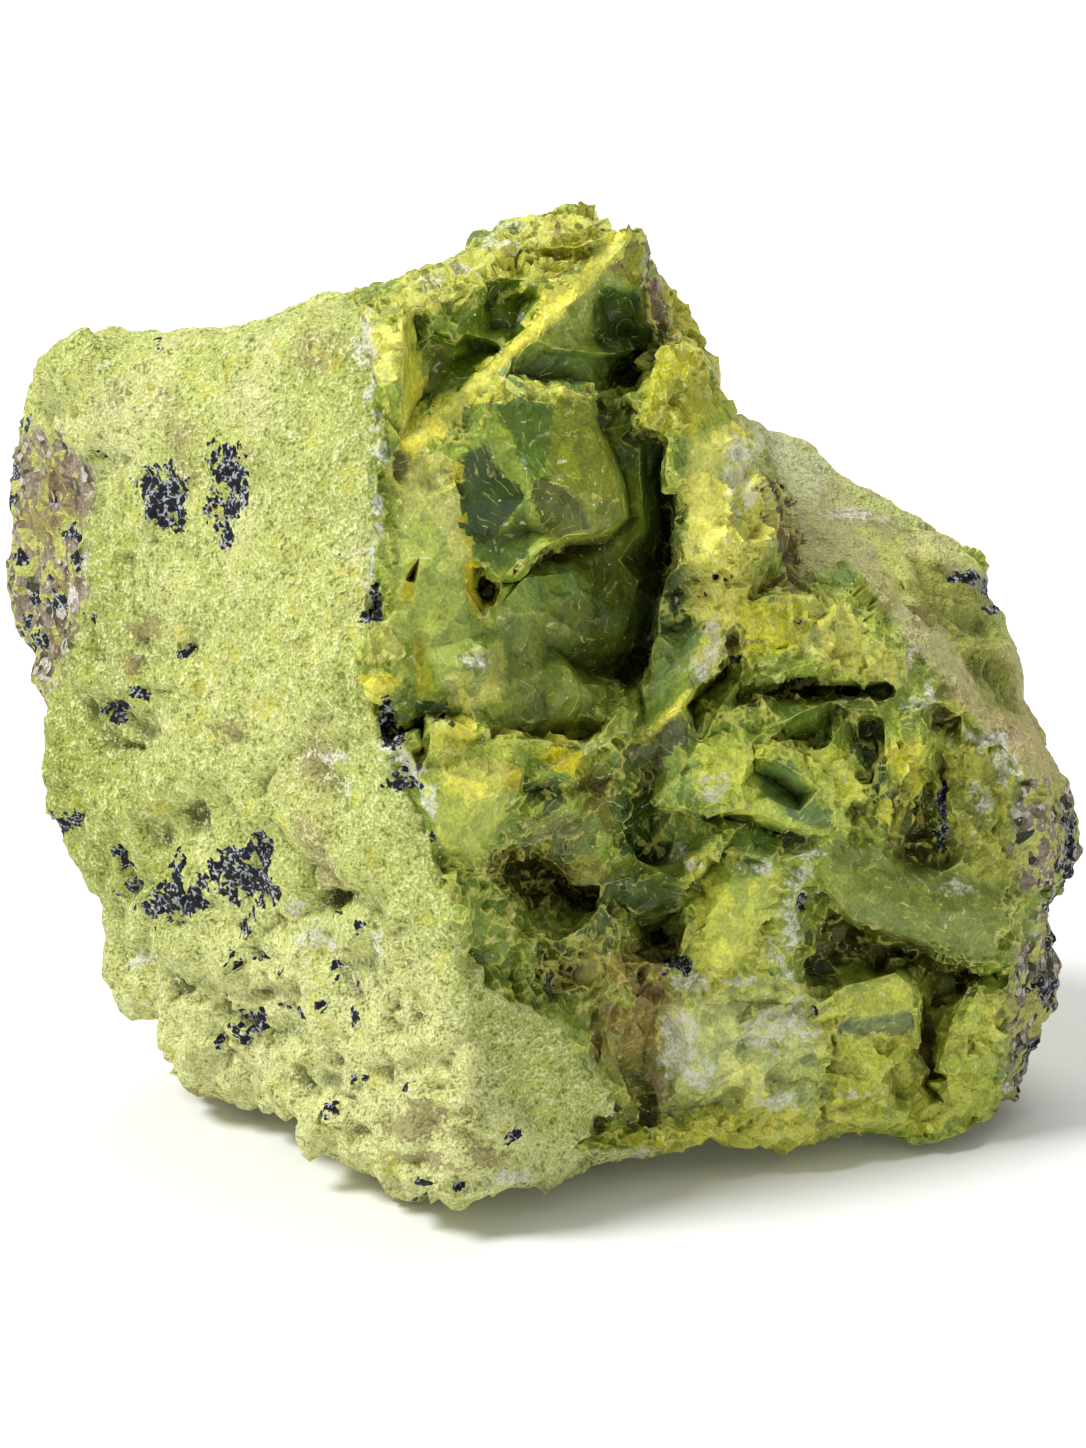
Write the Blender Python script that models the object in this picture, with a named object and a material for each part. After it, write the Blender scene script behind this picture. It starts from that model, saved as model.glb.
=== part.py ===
"""A hand-sized lump of serpentine rock, in metres, +Z up, resting on a small flat spot at z = 0.

Its surface is a net of ridges, edges and valleys, each a line of points. A point of the side that is
seen from the front is given as (column, row, depth). Column and row are where it is seen by an eye in
front of the rock, in steps of 0.1 mm, and depth is how far it lies behind the middle of the rock, in
millimetres. A point of the hidden side is given as (x, y, z) in millimetres. The lines of each side
are joined by triangles, the two sides meet along the outline, and the net is then split into smaller
triangles and roughened.
"""

from math import ceil, cos, radians, sin

import bmesh
import bpy
from mathutils import Vector, noise
from mathutils.geometry import delaunay_2d_cdt

MM = 0.001

# The eye in front of the rock, looking down a little.
EYE_TILT = radians(16)
EYE_DISTANCE = 550.0
EYE_AIM = Vector((0.0, 0.0, 41.0))
STEP = 0.1
MIDDLE_COLUMN = 543.0
MIDDLE_ROW = 724.0

# The broken face's mean plane: its depth at the left, how much deeper it gets with each step to the
# right, and how much it leans back with each step above a row.
FACE_DEPTH = -34.0
FACE_LEFT = 400.0
FACE_TURN = 0.045
FACE_LEAN = 0.035
FACE_LEAN_ROW = 740.0

# The lowest that the visible side comes above the floor, and the depth that the flat spot is cut to.
LOWEST_EDGE = 1.5
FLAT_CUT = 0.0

# The rounding of the outline: how far inside it a ring of points lies, their depths before and behind
# the outline, and how far they keep from the outline and from other lines, which are sampled for it.
RING_INSET = 9.0
RING_FRONT = -3.0
RING_BACK = 4.5
RING_CLEAR = 6.0
RING_FREE = 14.0
LINE_SAMPLE = 5.0

# How often long edges are halved, and the longest left before and behind, in millimetres.
SPLITS = 4
FRONT_EDGE = 4.8
BACK_EDGE = 6.0

# The roughness: the size and the height of rounded lumps and of flat chips, in millimetres. It is set
# along the line to the eye, at most as if the surface faced the eye by LEAST_FACING, and it leaves out
# points lower than STILL_BELOW.
LUMP_SIZE = 6.0
WEATHERED_LUMP = 0.9
BROKEN_LUMP = 0.25
WEATHERED_CHIP_SIZE = 9.0
WEATHERED_CHIP = 0.9
BROKEN_CHIP_SIZE = 4.0
BROKEN_CHIP = 0.45
BACK_CHIP_SIZE = 15.0
BACK_CHIP = 3.6
LUMP_OCTAVES = 3
CHIP_TURN_STEP = 3.7
CHIP_TURN_SHIFTS = (Vector((11, 0, 0)), Vector((0, 17, 0)), Vector((0, 0, 23)))
CHIP_RISE_STEP = 5.3
LEAST_FACING = 0.4
STILL_BELOW = 0.6

STONE_COLOUR = (0.36, 0.42, 0.09, 1.0)
STONE_ROUGHNESS = 0.5

# The outline, clockwise from the top left.
OUTLINE = [
    (61, 344, 0), (94, 335, 6), (138, 338, 8), (200, 332, 9), (238, 330, 10), (268, 320, 11),
    (300, 306, 12), (340, 295, 12), (380, 281, 12), (420, 267, 12), (448, 257, 12), (476, 238, 12),
    (498, 227, 12), (536, 214, 11), (560, 202, 10), (594, 208, 7), (608, 220, 2), (618, 228, -2),
    (628, 222, -6), (640, 236, -4), (659, 270, 0), (670, 286, 2), (688, 304, 4), (696, 325, 3),
    (702, 348, -2), (718, 365, -6), (722, 386, -8), (738, 413, -8), (742, 417, 14), (762, 426, 20),
    (784, 434, 22), (813, 445, 23), (824, 462, 22), (848, 481, 22), (881, 496, 22), (900, 507, 21),
    (928, 527, 20), (956, 542, 20), (976, 559, 18), (988, 580, 17), (992, 600, 16), (1005, 610, 16),
    (1006, 626, 15), (1021, 658, 13), (1027, 698, 11), (1041, 728, 9), (1054, 761, 7),
    (1061, 789, 4), (1074, 814, 5), (1077, 851, 7), (1062, 883, 5), (1066, 889, 6), (1050, 907, 3),
    (1053, 951, 4), (1050, 1007, 3), (1032, 1022, 0), (1033, 1041, 1), (1024, 1073, 0),
    (1018, 1098, 0), (1000, 1103, -3), (999, 1113, -5), (966, 1133, -12), (925, 1143, -10),
    (887, 1137, -9), (852, 1132, -12), (827, 1140, -14), (799, 1145, -16), (747, 1148, -18),
    (704, 1143, -19), (672, 1155, -20), (649, 1158, -21.5), (600, 1166, -24), (560, 1173, -27),
    (524, 1181, -29), (503, 1185, -31), (464, 1195, -35), (437, 1199, -36), (426, 1192, -35),
    (404, 1188, -33), (393, 1175, -28), (366, 1168, -27), (358, 1161, -26), (344, 1161, -26),
    (317, 1146, -24), (306, 1128, -20), (281, 1109, -14), (240, 1103, 3), (213, 1091, 4),
    (183, 1085, 3), (180, 1061, -4), (177, 1042, -4), (166, 1027, 0), (137, 1003, 3), (120, 989, 4),
    (111, 949, 4), (100, 920, 4), (97, 899, 5), (87, 867, 6), (68, 845, 7), (49, 819, 5),
    (40, 779, 4), (39, 728, 4), (47, 695, 6), (38, 675, 10), (39, 654, 10), (25, 632, 12),
    (15, 614, 13), (10, 591, 13), (14, 553, 13), (19, 523, 12), (13, 495, 13), (15, 470, 13),
    (20, 439, 11), (28, 414, 8), (33, 386, 4), (39, 367, 1), (48, 359, 0),
]

# The weathered face on the left, its top, and the shoulder on the right. Depths from the middle.
WEATHERED = {
    "top_rim": [
        (72, 372, -4), (105, 362, -6), (150, 347, -7), (215, 341, -12), (260, 334, -15),
        (300, 329, -18), (330, 323, -20.5), (348, 320, -22), (375, 314, -23.5), (403, 312, -25),
    ],
    "broken_edge": [
        (348, 320, -22), (358, 350, -23.5), (366, 370, -24.5), (373, 410, -26), (380, 440, -27),
        (376, 495, -28), (372, 560, -29), (365, 610, -30), (355, 640, -31), (353, 685, -32),
        (363, 710, -32.5), (375, 740, -33), (395, 790, -34), (415, 820, -34.5), (430, 850, -35),
        (447, 880, -36), (455, 920, -36.5), (460, 955, -37), (463, 990, -37), (466, 1040, -37.5),
        (466, 1100, -37.5), (456, 1160, -37), (464, 1195, -35),
    ],
    "slab_top": [
        (463, 990, -37), (490, 1001, -35.5), (530, 1015, -33), (570, 1038, -31), (600, 1068, -29),
        (618, 1085, -27.5), (600, 1102, -28.5), (576, 1114, -30), (575, 1142, -29.5), (560, 1173, -27),
    ],
    "column_edge": [(403, 312, -25), (403, 370, -25.5), (403, 437, -26)],
    "column_foot": [
        (414, 322, -19), (418, 345, -18.5), (419, 370, -18.5), (420, 396, -20), (418, 420, -24),
    ],
    "notch_brow": [
        (403, 312, -25), (414, 306, -21), (427, 300, -19), (446, 296, -17.5), (466, 293, -16),
        (480, 282, -14.5), (492, 276, -13), (513, 279, -12), (532, 281, -11.5), (556, 272, -11),
        (585, 268, -10),
    ],
    "notch_teeth": [
        (446, 296, -17.5), (450, 314, -17.5), (464, 326, -16.5), (476, 321, -15.5),
        (486, 292, -14.5),
    ],
    "notch_lip": [
        (424, 318, -19.5), (432, 338, -19.5), (455, 343, -19.5), (465, 333, -17.5), (480, 337, -16),
        (497, 342, -16),
    ],
    "notch_foot": [
        (428, 345, -16.5), (456, 349, -16), (467, 340, -14.5), (482, 343, -13.5), (496, 350, -14.5),
    ],
    "lump_foot": [
        (503, 262, -10), (522, 262, -9.5), (535, 265, -9), (545, 254, -8.5), (575, 255, -8.5),
        (600, 245, -7.5), (613, 236, -6),
    ],
    "lump_brow": [
        (506, 252, -10), (525, 246, -9.5), (550, 248, -9.5), (575, 250, -9.5), (597, 240, -8.5),
    ],
    "tooth_lip": [
        (92, 684, -7), (112, 690, -10), (130, 700, -11.5), (150, 714, -13), (170, 725, -14.5),
        (192, 746, -16.5),
    ],
    "tooth_foot": [
        (95, 706, -3.5), (120, 716, -6.5), (140, 730, -8), (160, 742, -10.5), (182, 762, -12),
    ],
    "overhang_lip": [(182, 950, -9), (215, 964, -13), (250, 968, -16.5), (290, 984, -21)],
    "overhang_foot": [(186, 968, -5.5), (215, 980, -9.5), (250, 985, -13), (288, 1000, -17.5)],
    "left_margin": [
        (66, 400, 0), (100, 440, -5), (101, 500, -5), (95, 560, -5), (95, 610, -5.5), (75, 660, -2),
    ],
    "underside_rim": [
        (184, 1077, -4), (205, 1081, -5), (224, 1088, -6.5), (254, 1094, -8.5), (262, 1102, -9),
    ],
    "brown_gap": [(763, 452, 15), (775, 477, 12), (789, 503, 9), (797, 545, 1), (801, 588, -8)],
    "shoulder_edge": [
        (801, 588, -8), (817, 578, -8), (845, 566, -5), (872, 577, -4), (890, 594, -6),
        (904, 620, -7), (930, 646, -8), (950, 672, -8), (972, 696, -8), (987, 713, -8),
        (1011, 737, -7), (1041, 771, -6), (1058, 788, -2),
    ],
    "shoulder_ridge": [
        (830, 490, 16), (858, 510, 12), (876, 545, 7), (895, 570, 2), (915, 606, -2),
        (932, 640, -6),
    ],
    "shoulder_block": [
        (915, 570, 8), (938, 552, 12), (955, 548, 15), (962, 575, 12), (942, 600, 7), (935, 628, 0),
    ],
    "step_lip": [(937, 652, -6), (965, 650, -2), (1000, 648, 4), (1017, 652, 10)],
    "step_foot": [(950, 662, -5), (968, 664, 1), (1000, 664, 6), (1018, 668, 11)],
    "crust_left": [
        (1036, 780, -7), (1022, 796, -7.5), (1013, 830, -7.5), (1017, 860, -7.5), (1029, 889, -7.5),
    ],
    "crust_ridge": [(1044, 790, -6), (1043, 830, -8), (1047, 868, -7), (1036, 890, -7.5)],
    "crust_front": [
        (1041, 900, -6), (1024, 925, -7.9), (1012, 960, -7.5), (1008, 990, -7.5), (1009, 1030, -7.5),
        (1004, 1060, -8), (1000, 1088, -8),
    ],
}

WEATHERED_SPOTS = [
    (70, 356, -3), (92, 348, -4), (150, 342, 1), (215, 336, 2), (262, 326, 0), (300, 315, -3),
    (340, 305, -6), (375, 299, -9), (402, 292, -7), (430, 281, -5), (460, 268, -4), (486, 254, -3),
    (516, 238, -3), (548, 226, -4), (575, 222, -4), (592, 224, -4), (560, 238, -9),
    (585, 234, -8.5), (530, 240, -8), (480, 268, -11), (450, 284, -13), (425, 292, -15),
    (512, 268, -11.5), (545, 266, -11), (570, 262, -10.5), (492, 300, -11.5), (520, 300, -10),
    (492, 328, -12), (515, 326, -12), (535, 298, -11), (430, 370, -17), (452, 362, -15.5),
    (475, 352, -14), (425, 402, -20), (440, 385, -18), (375, 345, -24.5), (388, 380, -25.5),
    (390, 420, -26), (100, 400, -5), (150, 400, -9), (200, 400, -13.5), (250, 400, -17.5),
    (300, 400, -21.5), (345, 400, -25), (45, 450, 6), (70, 450, 1), (140, 455, -9.5),
    (190, 455, -14), (240, 455, -18), (290, 455, -22.5), (340, 455, -26.5), (42, 515, 6),
    (72, 510, 1), (150, 510, -10.5), (200, 510, -15.5), (250, 510, -19.5), (300, 510, -24),
    (345, 510, -27.5), (40, 570, 6), (68, 570, 1), (150, 570, -11), (200, 570, -16),
    (250, 570, -20.5), (300, 570, -25), (340, 570, -28), (50, 625, 5), (120, 630, -9.5),
    (155, 630, -13.5), (200, 630, -17), (250, 630, -21.5), (300, 630, -26), (335, 630, -29),
    (60, 690, 1), (130, 670, -11.5), (165, 680, -14), (210, 690, -18), (260, 690, -22.5),
    (310, 690, -27.5), (338, 690, -30.5), (60, 745, -1), (85, 745, -3), (115, 752, -6),
    (150, 765, -10), (190, 780, -13.5), (230, 750, -19), (280, 750, -24), (330, 750, -29),
    (62, 800, -2), (105, 790, -7.5), (150, 800, -12), (180, 815, -12.5), (240, 800, -19.5),
    (290, 800, -24.5), (350, 800, -30.5), (90, 845, -1), (120, 860, -4.5), (160, 860, -9.5),
    (200, 860, -14), (250, 860, -19.5), (300, 860, -25), (350, 860, -30), (400, 860, -33.5),
    (120, 915, -1), (150, 920, -5.5), (200, 920, -11.5), (250, 920, -17.5), (300, 920, -23),
    (345, 925, -28), (400, 920, -33), (336, 900, -25), (140, 980, 0), (165, 975, -4.5),
    (330, 980, -24.5), (380, 980, -30), (425, 980, -34), (190, 1035, -5), (230, 1035, -10),
    (280, 1040, -16.5), (330, 1040, -23), (380, 1040, -29), (425, 1040, -34), (205, 1065, -6.5),
    (250, 1075, -11), (290, 1085, -16), (330, 1095, -21.5), (380, 1095, -28.5), (425, 1095, -34),
    (330, 1130, -22.5), (370, 1140, -27.5), (410, 1140, -32), (432, 1165, -35), (505, 1050, -35),
    (530, 1100, -33.5), (520, 1150, -33), (560, 1075, -32), (490, 1180, -34.5), (668, 300, 1),
    (672, 320, -1), (655, 275, -3), (790, 450, 17), (812, 478, 15), (845, 530, 6), (815, 520, 7),
    (820, 550, 0), (850, 545, 3), (866, 562, 0), (870, 510, 14), (900, 535, 14), (905, 590, 2),
    (975, 590, 14), (985, 625, 12), (950, 620, 4), (960, 640, 2), (960, 676, -4), (985, 690, 0),
    (1005, 700, 4), (1010, 720, 0), (1030, 742, 2), (1048, 775, 1), (768, 436, 18), (1058, 815, 0),
    (1062, 850, 1), (1052, 880, 0), (1040, 930, -2), (1035, 980, -3), (1025, 1020, -4),
    (1018, 1060, -4),
]

# The broken face. Depths from its mean plane, so that a negative one stands proud of it.
BROKEN = {
    "wedge_crest": [
        (403, 437, -2.7), (450, 400, -2.1), (500, 354, -1.5), (545, 303, -0.5), (585, 268, -0.3),
        (607, 248, 0), (618, 228, 0),
    ],
    "wedge_bevel": [
        (413, 455, -3.4), (440, 432, -3.2), (470, 408, -2.8), (488, 381, -2.6), (513, 362, -2.4),
        (538, 341, -2.2), (548, 318, -1.7), (575, 300, -1.4), (598, 280, -1), (608, 262, -0.6),
        (626, 242, 0),
    ],
    "wedge_right": [(628, 222, 0), (640, 250, 0.5), (646, 285, 1.5), (650, 320, 2), (662, 342, 1)],
    "thin_ledge": [(538, 341, -2.2), (556, 349, -1.4), (585, 352, -0.8), (613, 354, 0.5)],
    "thin_ledge_foot": [(545, 354, 0.5), (585, 358, 1.5), (612, 362, 5)],
    "block_top": [
        (488, 381, -2.6), (505, 377, -3.6), (530, 380, -3.8), (550, 387, -3.8), (566, 383, -4.2),
        (590, 397, -4),
    ],
    "block_back": [(510, 373, -0.5), (530, 374, 1), (550, 380, 2), (567, 377, 3), (592, 388, 4)],
    "block_lip": [(486, 397, -4.4), (510, 401, -4.6), (540, 399, -5), (556, 405, -4.8)],
    "block_rim": [
        (590, 397, -4), (597, 430, -4.6), (608, 460, -4.8), (617, 480, -4.8), (622, 514, -4.6),
        (610, 527, -5), (590, 535, -5), (565, 538, -5), (548, 545, -5), (530, 560, -4.5),
        (517, 575, -4), (500, 577, -3.2), (488, 565, -3), (475, 560, -3), (460, 545, -3.2),
        (452, 520, -3.4), (449, 490, -3.4), (452, 464, -3.6),
    ],
    "block_step": [
        (480, 437, -5.6), (507, 434, -5.6), (520, 450, -5.2), (517, 478, -4.8), (500, 465, -4.8),
        (480, 457, -5.2), (480, 437, -5.6),
    ],
    "block_fold": [
        (452, 464, -3.6), (480, 457, -5.2), (500, 465, -4.8), (524, 500, -5.2), (530, 498, -5.4),
    ],
    "block_keel": [(530, 498, -5.4), (535, 478, -6.4), (580, 490, -6.6), (618, 500, -5.4)],
    "block_facets": [
        (475, 560, -3), (494, 532, -2.6), (524, 500, -5.2), (528, 530, -2.8), (548, 545, -5),
    ],
    "nodule_top": [(597, 396, 2.5), (606, 430, 4.5), (617, 458, 5.5), (626, 484, 6), (631, 518, 6.5)],
    "block_under": [
        (631, 518, 6.5), (605, 544, 5), (570, 546, 6.5), (552, 553, 5.5), (535, 568, 3.5),
        (520, 581, 2.5), (503, 583, 2),
    ],
    "nodule_right": [
        (640, 426, 4.5), (658, 436, 6), (665, 445, 8), (663, 475, 9), (669, 497, 10),
        (669, 520, 11), (667, 545, 12), (664, 570, 12), (655, 610, 12), (650, 635, 12),
        (641, 660, 12.5), (625, 680, 12.5), (600, 674, 9.5), (572, 662, 6.5), (550, 645, 3.5),
    ],
    "band_left": [
        (604, 398, 0.5), (622, 396, 0), (633, 408, -1), (640, 423, -1.8), (661, 434, -2.6),
        (669, 440, -2.4), (666, 475, -2), (673, 495, -2.2), (673, 520, -2.2), (671, 545, -2.2),
        (680, 556, -2.2), (668, 572, -1.4), (659, 610, 0), (655, 632, 1), (647, 658, 2.2),
        (643, 684, 3), (646, 725, 2),
    ],
    "band_right": [
        (738, 413, -0.6), (748, 430, -1), (758, 446, -1), (754, 463, -1.4), (761, 482, -1.8),
        (767, 500, -2), (772, 518, -2.2), (770, 533, -2.2), (765, 558, -2.4), (754, 586, -2.4),
        (746, 607, -2.4), (738, 626, -2.4), (724, 650, -2.4), (711, 676, -2.2), (699, 685, -2.2),
        (681, 708, -2), (666, 717, -2), (646, 725, 2),
    ],
    "band_crest": [
        (700, 352, -1.4), (690, 375, -2.4), (700, 398, -2.8), (690, 425, -3), (715, 450, -3.2),
        (708, 485, -2.6), (725, 520, -3.2), (712, 555, -3), (728, 590, -3), (705, 615, -2.6),
        (712, 645, -2.4), (688, 675, -2.2),
    ],
    "facet_crest": [
        (668, 338, -0.6), (672, 357, -2.6), (667, 385, -3), (668, 410, -3), (661, 434, -2.6),
    ],
    "facet_left": [(668, 338, -0.6), (650, 372, 0.5), (637, 392, 0.8), (633, 408, -1)],
    "flake_line": [(668, 410, -3), (690, 400, -2.6), (700, 398, -2.8), (716, 388, -1.4)],
    "hollow": [
        (612, 362, 5), (618, 374, 9), (640, 360, 9), (634, 385, 8), (612, 388, 7), (600, 378, 5),
    ],
    "wedge_hollow": [(600, 300, 3), (612, 325, 5), (598, 340, 3.5), (628, 330, 5.5), (640, 348, 6)],
    "gap_deep": [
        (757, 462, 5), (766, 490, 6), (776, 518, 6), (780, 545, 4), (772, 568, 3), (762, 590, 3),
        (790, 592, 2),
    ],
    "yellow_block_top": [(750, 599, -2.6), (775, 597, -2.8), (801, 599, -2), (822, 602, -2)],
    "yellow_block_left": [
        (750, 599, -2.6), (743, 618, -2.2), (740, 652, -2), (758, 662, -1.6), (770, 680, -1.6),
    ],
    "yellow_block_lip": [
        (770, 680, -1.6), (790, 670, -3.2), (820, 661, -3.4), (833, 664, -1.8), (860, 668, -1.6),
    ],
    "flake_ridge": [
        (822, 602, -2), (838, 622, -2.4), (856, 648, -2.6), (880, 662, -2.6), (908, 670, -2),
    ],
    "crevice_roof": [
        (770, 684, -0.8), (800, 681, -0.8), (828, 678, -1), (860, 684, -1.6), (894, 687, -2),
    ],
    "crevice_deep": [(740, 697, 3), (775, 692, 7.5), (812, 690, 9), (850, 690, 8), (884, 691, 4)],
    "crevice_sill": [(757, 701, -0.8), (790, 698, 0), (832, 700, -1), (860, 697, -1.8), (894, 695, -2)],
    "left_crevice": [(730, 640, 2), (728, 660, 4.5), (716, 678, 6.5), (704, 692, 7), (690, 704, 5)],
    "roll": [(832, 700, -1), (850, 711, -2.2), (876, 712, -2.4), (896, 700, -2.2)],
    "cuboid_ridge": [
        (757, 701, -0.8), (757, 726, -1.2), (768, 731, -2), (785, 722, -2.6), (802, 712, -2.8),
        (832, 700, -1),
    ],
    "cuboid_foot": [(776, 738, 2.5), (800, 741, 3.5), (827, 738, 2.5), (828, 712, 0)],
    "blade_edge": [
        (752, 743, -2), (770, 757, -2.8), (790, 770, -3.2), (808, 778, -3.2), (818, 790, -3),
        (826, 806, -2.4),
    ],
    "blade_back": [
        (752, 743, -2), (778, 745, -2.2), (800, 743, -2), (816, 748, -2), (826, 766, -2.2),
        (826, 806, -2.4),
    ],
    "blade_foot": [(753, 752, 2), (754, 772, 3), (774, 780, 2.4), (796, 796, 1)],
    "middle_edge": [(752, 743, -2), (750, 760, -2), (741, 785, -1.8), (720, 800, -1.2)],
    "ledge_lip": [
        (655, 798, 0.5), (670, 808, -0.6), (700, 810, -1.2), (715, 807, -1.2), (745, 808, -1.8),
        (770, 818, -2.2), (800, 831, -2.4), (830, 835, -2.4), (850, 834, -2.4),
    ],
    "ledge_foot": [
        (674, 813, 3), (700, 816, 3), (722, 816, 4), (750, 823, 2.5), (776, 832, 1.5),
        (802, 840, 0),
    ],
    "fin_one": [(834, 703, -1), (833, 740, -2), (850, 765, -2.4), (865, 790, -2.8), (878, 796, -2.6)],
    "fin_gap": [(842, 714, 0.5), (862, 740, 1.5), (874, 778, 1)],
    "fin_two": [(882, 718, -1.8), (884, 760, -2), (878, 796, -2.6), (874, 830, -2.4), (884, 838, -2.4)],
    "fin_two_edge": [
        (930, 702, -2.8), (926, 732, -3.2), (915, 757, -3.4), (905, 790, -3.4), (890, 820, -3),
        (884, 838, -2.4),
    ],
    "fin_two_foot": [(932, 742, 1), (922, 770, 2), (910, 800, 3), (898, 832, 3), (925, 836, 3)],
    "step_edge": [
        (930, 702, -2.8), (937, 706, -2.4), (935, 740, 0), (934, 780, 2), (938, 806, 1.5),
        (939, 840, 1), (941, 872, -1),
    ],
    "step_foot": [(943, 714, 3), (942, 745, 4), (941, 780, 4), (944, 820, 2.5), (947, 860, 1.5)],
    "bulge_top": [
        (850, 834, -2.4), (868, 836, -2.4), (881, 852, -2.6), (872, 868, -2.8), (905, 876, -2.4),
        (926, 880, -2.8), (941, 872, -1), (975, 878, -2), (1005, 874, -2), (1029, 889, -1.7),
    ],
    "bulge_foot": [
        (826, 846, -2.4), (825, 870, -2.2), (830, 893, -2.4), (850, 915, -2.8), (880, 931, -3),
        (920, 946, -3.4), (960, 965, -3.4), (990, 960, -3.4), (1010, 938, -3), (1024, 925, -2),
    ],
    "bulge_under": [
        (822, 900, 1), (846, 925, 3.5), (878, 940, 5), (918, 955, 3.5), (956, 974, 4),
        (990, 969, 2),
    ],
    "bowl_rim": [
        (578, 950, 0.5), (560, 941, -0.4), (545, 935, -0.6), (517, 925, -1.6), (505, 900, -1.4),
        (496, 879, -1.4), (488, 868, -1.8), (492, 850, -1.8), (505, 832, -1.4), (522, 814, -1),
        (545, 798, -0.6), (565, 803, 0), (578, 782, 0), (590, 766, 0.5), (622, 764, 1),
    ],
    "bowl_floor": [
        (506, 878, 8), (540, 874, 11), (565, 888, 12), (592, 905, 10), (560, 915, 9), (530, 902, 8),
    ],
    "olive_block": [
        (556, 862, 5), (588, 846, 3), (606, 845, 3), (618, 872, 4), (600, 885, 4), (575, 880, 5),
        (556, 862, 5),
    ],
    "lens_left": [(622, 764, 1), (613, 797, 2.5), (622, 822, 3.5), (640, 858, 4.5), (618, 872, 4)],
    "lens_deep": [(638, 772, 4), (648, 792, 6), (656, 815, 8), (650, 842, 8)],
    "crescent_rim": [
        (724, 830, -1), (711, 850, -1.6), (696, 870, -1.6), (680, 880, -1.2), (660, 872, 0),
        (640, 858, 4.5),
    ],
    "crescent_foot": [
        (728, 842, 1), (716, 862, 1.5), (700, 882, 2), (682, 892, 3), (640, 878, 3), (605, 884, 4),
    ],
    "hole_rim": [
        (605, 884, 4), (622, 905, 5.5), (645, 917, 6), (680, 912, 5), (700, 895, 2.5),
        (690, 925, 0.5), (682, 945, 0), (676, 962, 0.5), (650, 962, 2), (626, 962, 0.8),
        (629, 940, 1.5), (622, 922, 2.5),
    ],
    "hole_floor": [(634, 924, 10), (664, 921, 10), (671, 940, 11), (650, 952, 9), (634, 946, 10)],
    "facet_edge": [(600, 905, 3), (588, 925, 1.8), (580, 950, 0.5), (603, 956, 0), (626, 962, 0.8)],
    "ledge_top": [
        (402, 741, -2), (415, 732, -2.2), (430, 726, -2.2), (447, 723, -2.2), (475, 735, -1.8),
        (510, 736, -1.8), (530, 739, -2.2), (560, 744, -2.2), (586, 746, -1.8), (600, 738, -1.2),
        (616, 718, -0.6),
    ],
    "ledge_back": [
        (402, 735, 3.5), (425, 728, 5.5), (445, 720, 5), (452, 716, 1.5), (478, 730, 0.5),
        (505, 731, 3), (522, 736, 5.5), (552, 739, 6.5), (584, 741, 6), (602, 728, 3),
    ],
    "ledge_roof": [(403, 700, -0.5), (425, 712, 0.5), (444, 712, 0.8), (452, 716, 1.5)],
    "facet_roof": [
        (478, 730, 0.5), (500, 718, 1), (528, 724, 1.6), (545, 720, 1.6), (580, 717, 2.2),
        (606, 722, 1.5),
    ],
    "facet_crest_low": [
        (500, 662, -0.4), (540, 672, 0.8), (566, 666, 0.6), (584, 684, 1), (606, 722, 1.5),
    ],
    "facet_fold_low": [(566, 666, 0.6), (560, 690, -0.4), (545, 720, 1.6)],
    "fan": [(612, 684, 3.5), (622, 700, 2), (632, 712, 1.4), (640, 690, 4.5)],
    "tongue": [(503, 741, -2.4), (523, 741, -2.8), (526, 752, -2.6), (515, 790, -2), (501, 776, -2.4)],
    "tongue_foot": [(530, 756, -1), (520, 792, 0.5)],
    "face_fold": [
        (402, 741, -2), (418, 775, -2.6), (436, 792, -3.2), (468, 800, -3.2), (500, 776, -2.4),
    ],
    "face_edge": [(500, 776, -2.4), (499, 812, -2), (492, 850, -1.8)],
    "slit": [(418, 553, -1.2), (405, 580, -1), (403, 604, -1)],
    "slit_right": [(420, 556, -1.2), (415, 582, -1), (414, 603, -1)],
    "side_pit": [
        (472, 566, -2), (466, 590, -1.6), (480, 612, -1.4), (494, 606, -0.6), (501, 590, -0.4),
        (500, 577, -3.2),
    ],
    "light_facet": [
        (500, 606, -0.6), (525, 577, 1), (550, 575, 2), (574, 572, 3), (578, 588, 2.4),
        (545, 612, 0.4), (510, 613, -0.4),
    ],
    "brown_hollow": [(812, 905, 0), (812, 935, 2.5), (806, 970, 3), (830, 960, 4), (836, 986, 1.5)],
    "green_hollow": [(862, 945, 5.5), (888, 952, 6), (880, 970, 5), (862, 962, 4.5)],
    "chalk_edge": [
        (830, 835, -2.4), (814, 850, -2), (806, 885, -1.8), (798, 920, -1.8), (795, 960, -1.8),
        (793, 986, -2),
    ],
    "chalk_sill": [(676, 962, 0.5), (700, 985, -1.6), (740, 992, -2), (793, 986, -2)],
    "chalk_sill_foot": [(708, 1002, 0.5), (750, 1003, 0.6), (792, 1003, 0)],
    "low_block_top": [
        (820, 1002, -1), (845, 986, -1.2), (870, 979, -1.2), (895, 972, -1.6), (912, 985, -2),
        (917, 1008, -2.6),
    ],
    "low_block_edge": [
        (820, 1016, -1.6), (850, 1013, -2.2), (900, 1011, -2.8), (917, 1008, -2.6), (915, 1042, -2.2),
        (890, 1044, -2), (860, 1047, -1.6), (826, 1042, -1),
    ],
    "low_crevice": [(922, 985, 4), (924, 1010, 5.5), (926, 1035, 6), (931, 1058, 5), (940, 1074, 3)],
    "round_pit": [(938, 976, 6), (960, 984, 6), (940, 1000, 6.5), (934, 1014, 5)],
    "right_block": [
        (968, 986, -1), (950, 1020, -1.6), (945, 1050, -1.8), (943, 1080, -1.2), (946, 1106, -1.8),
    ],
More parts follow.
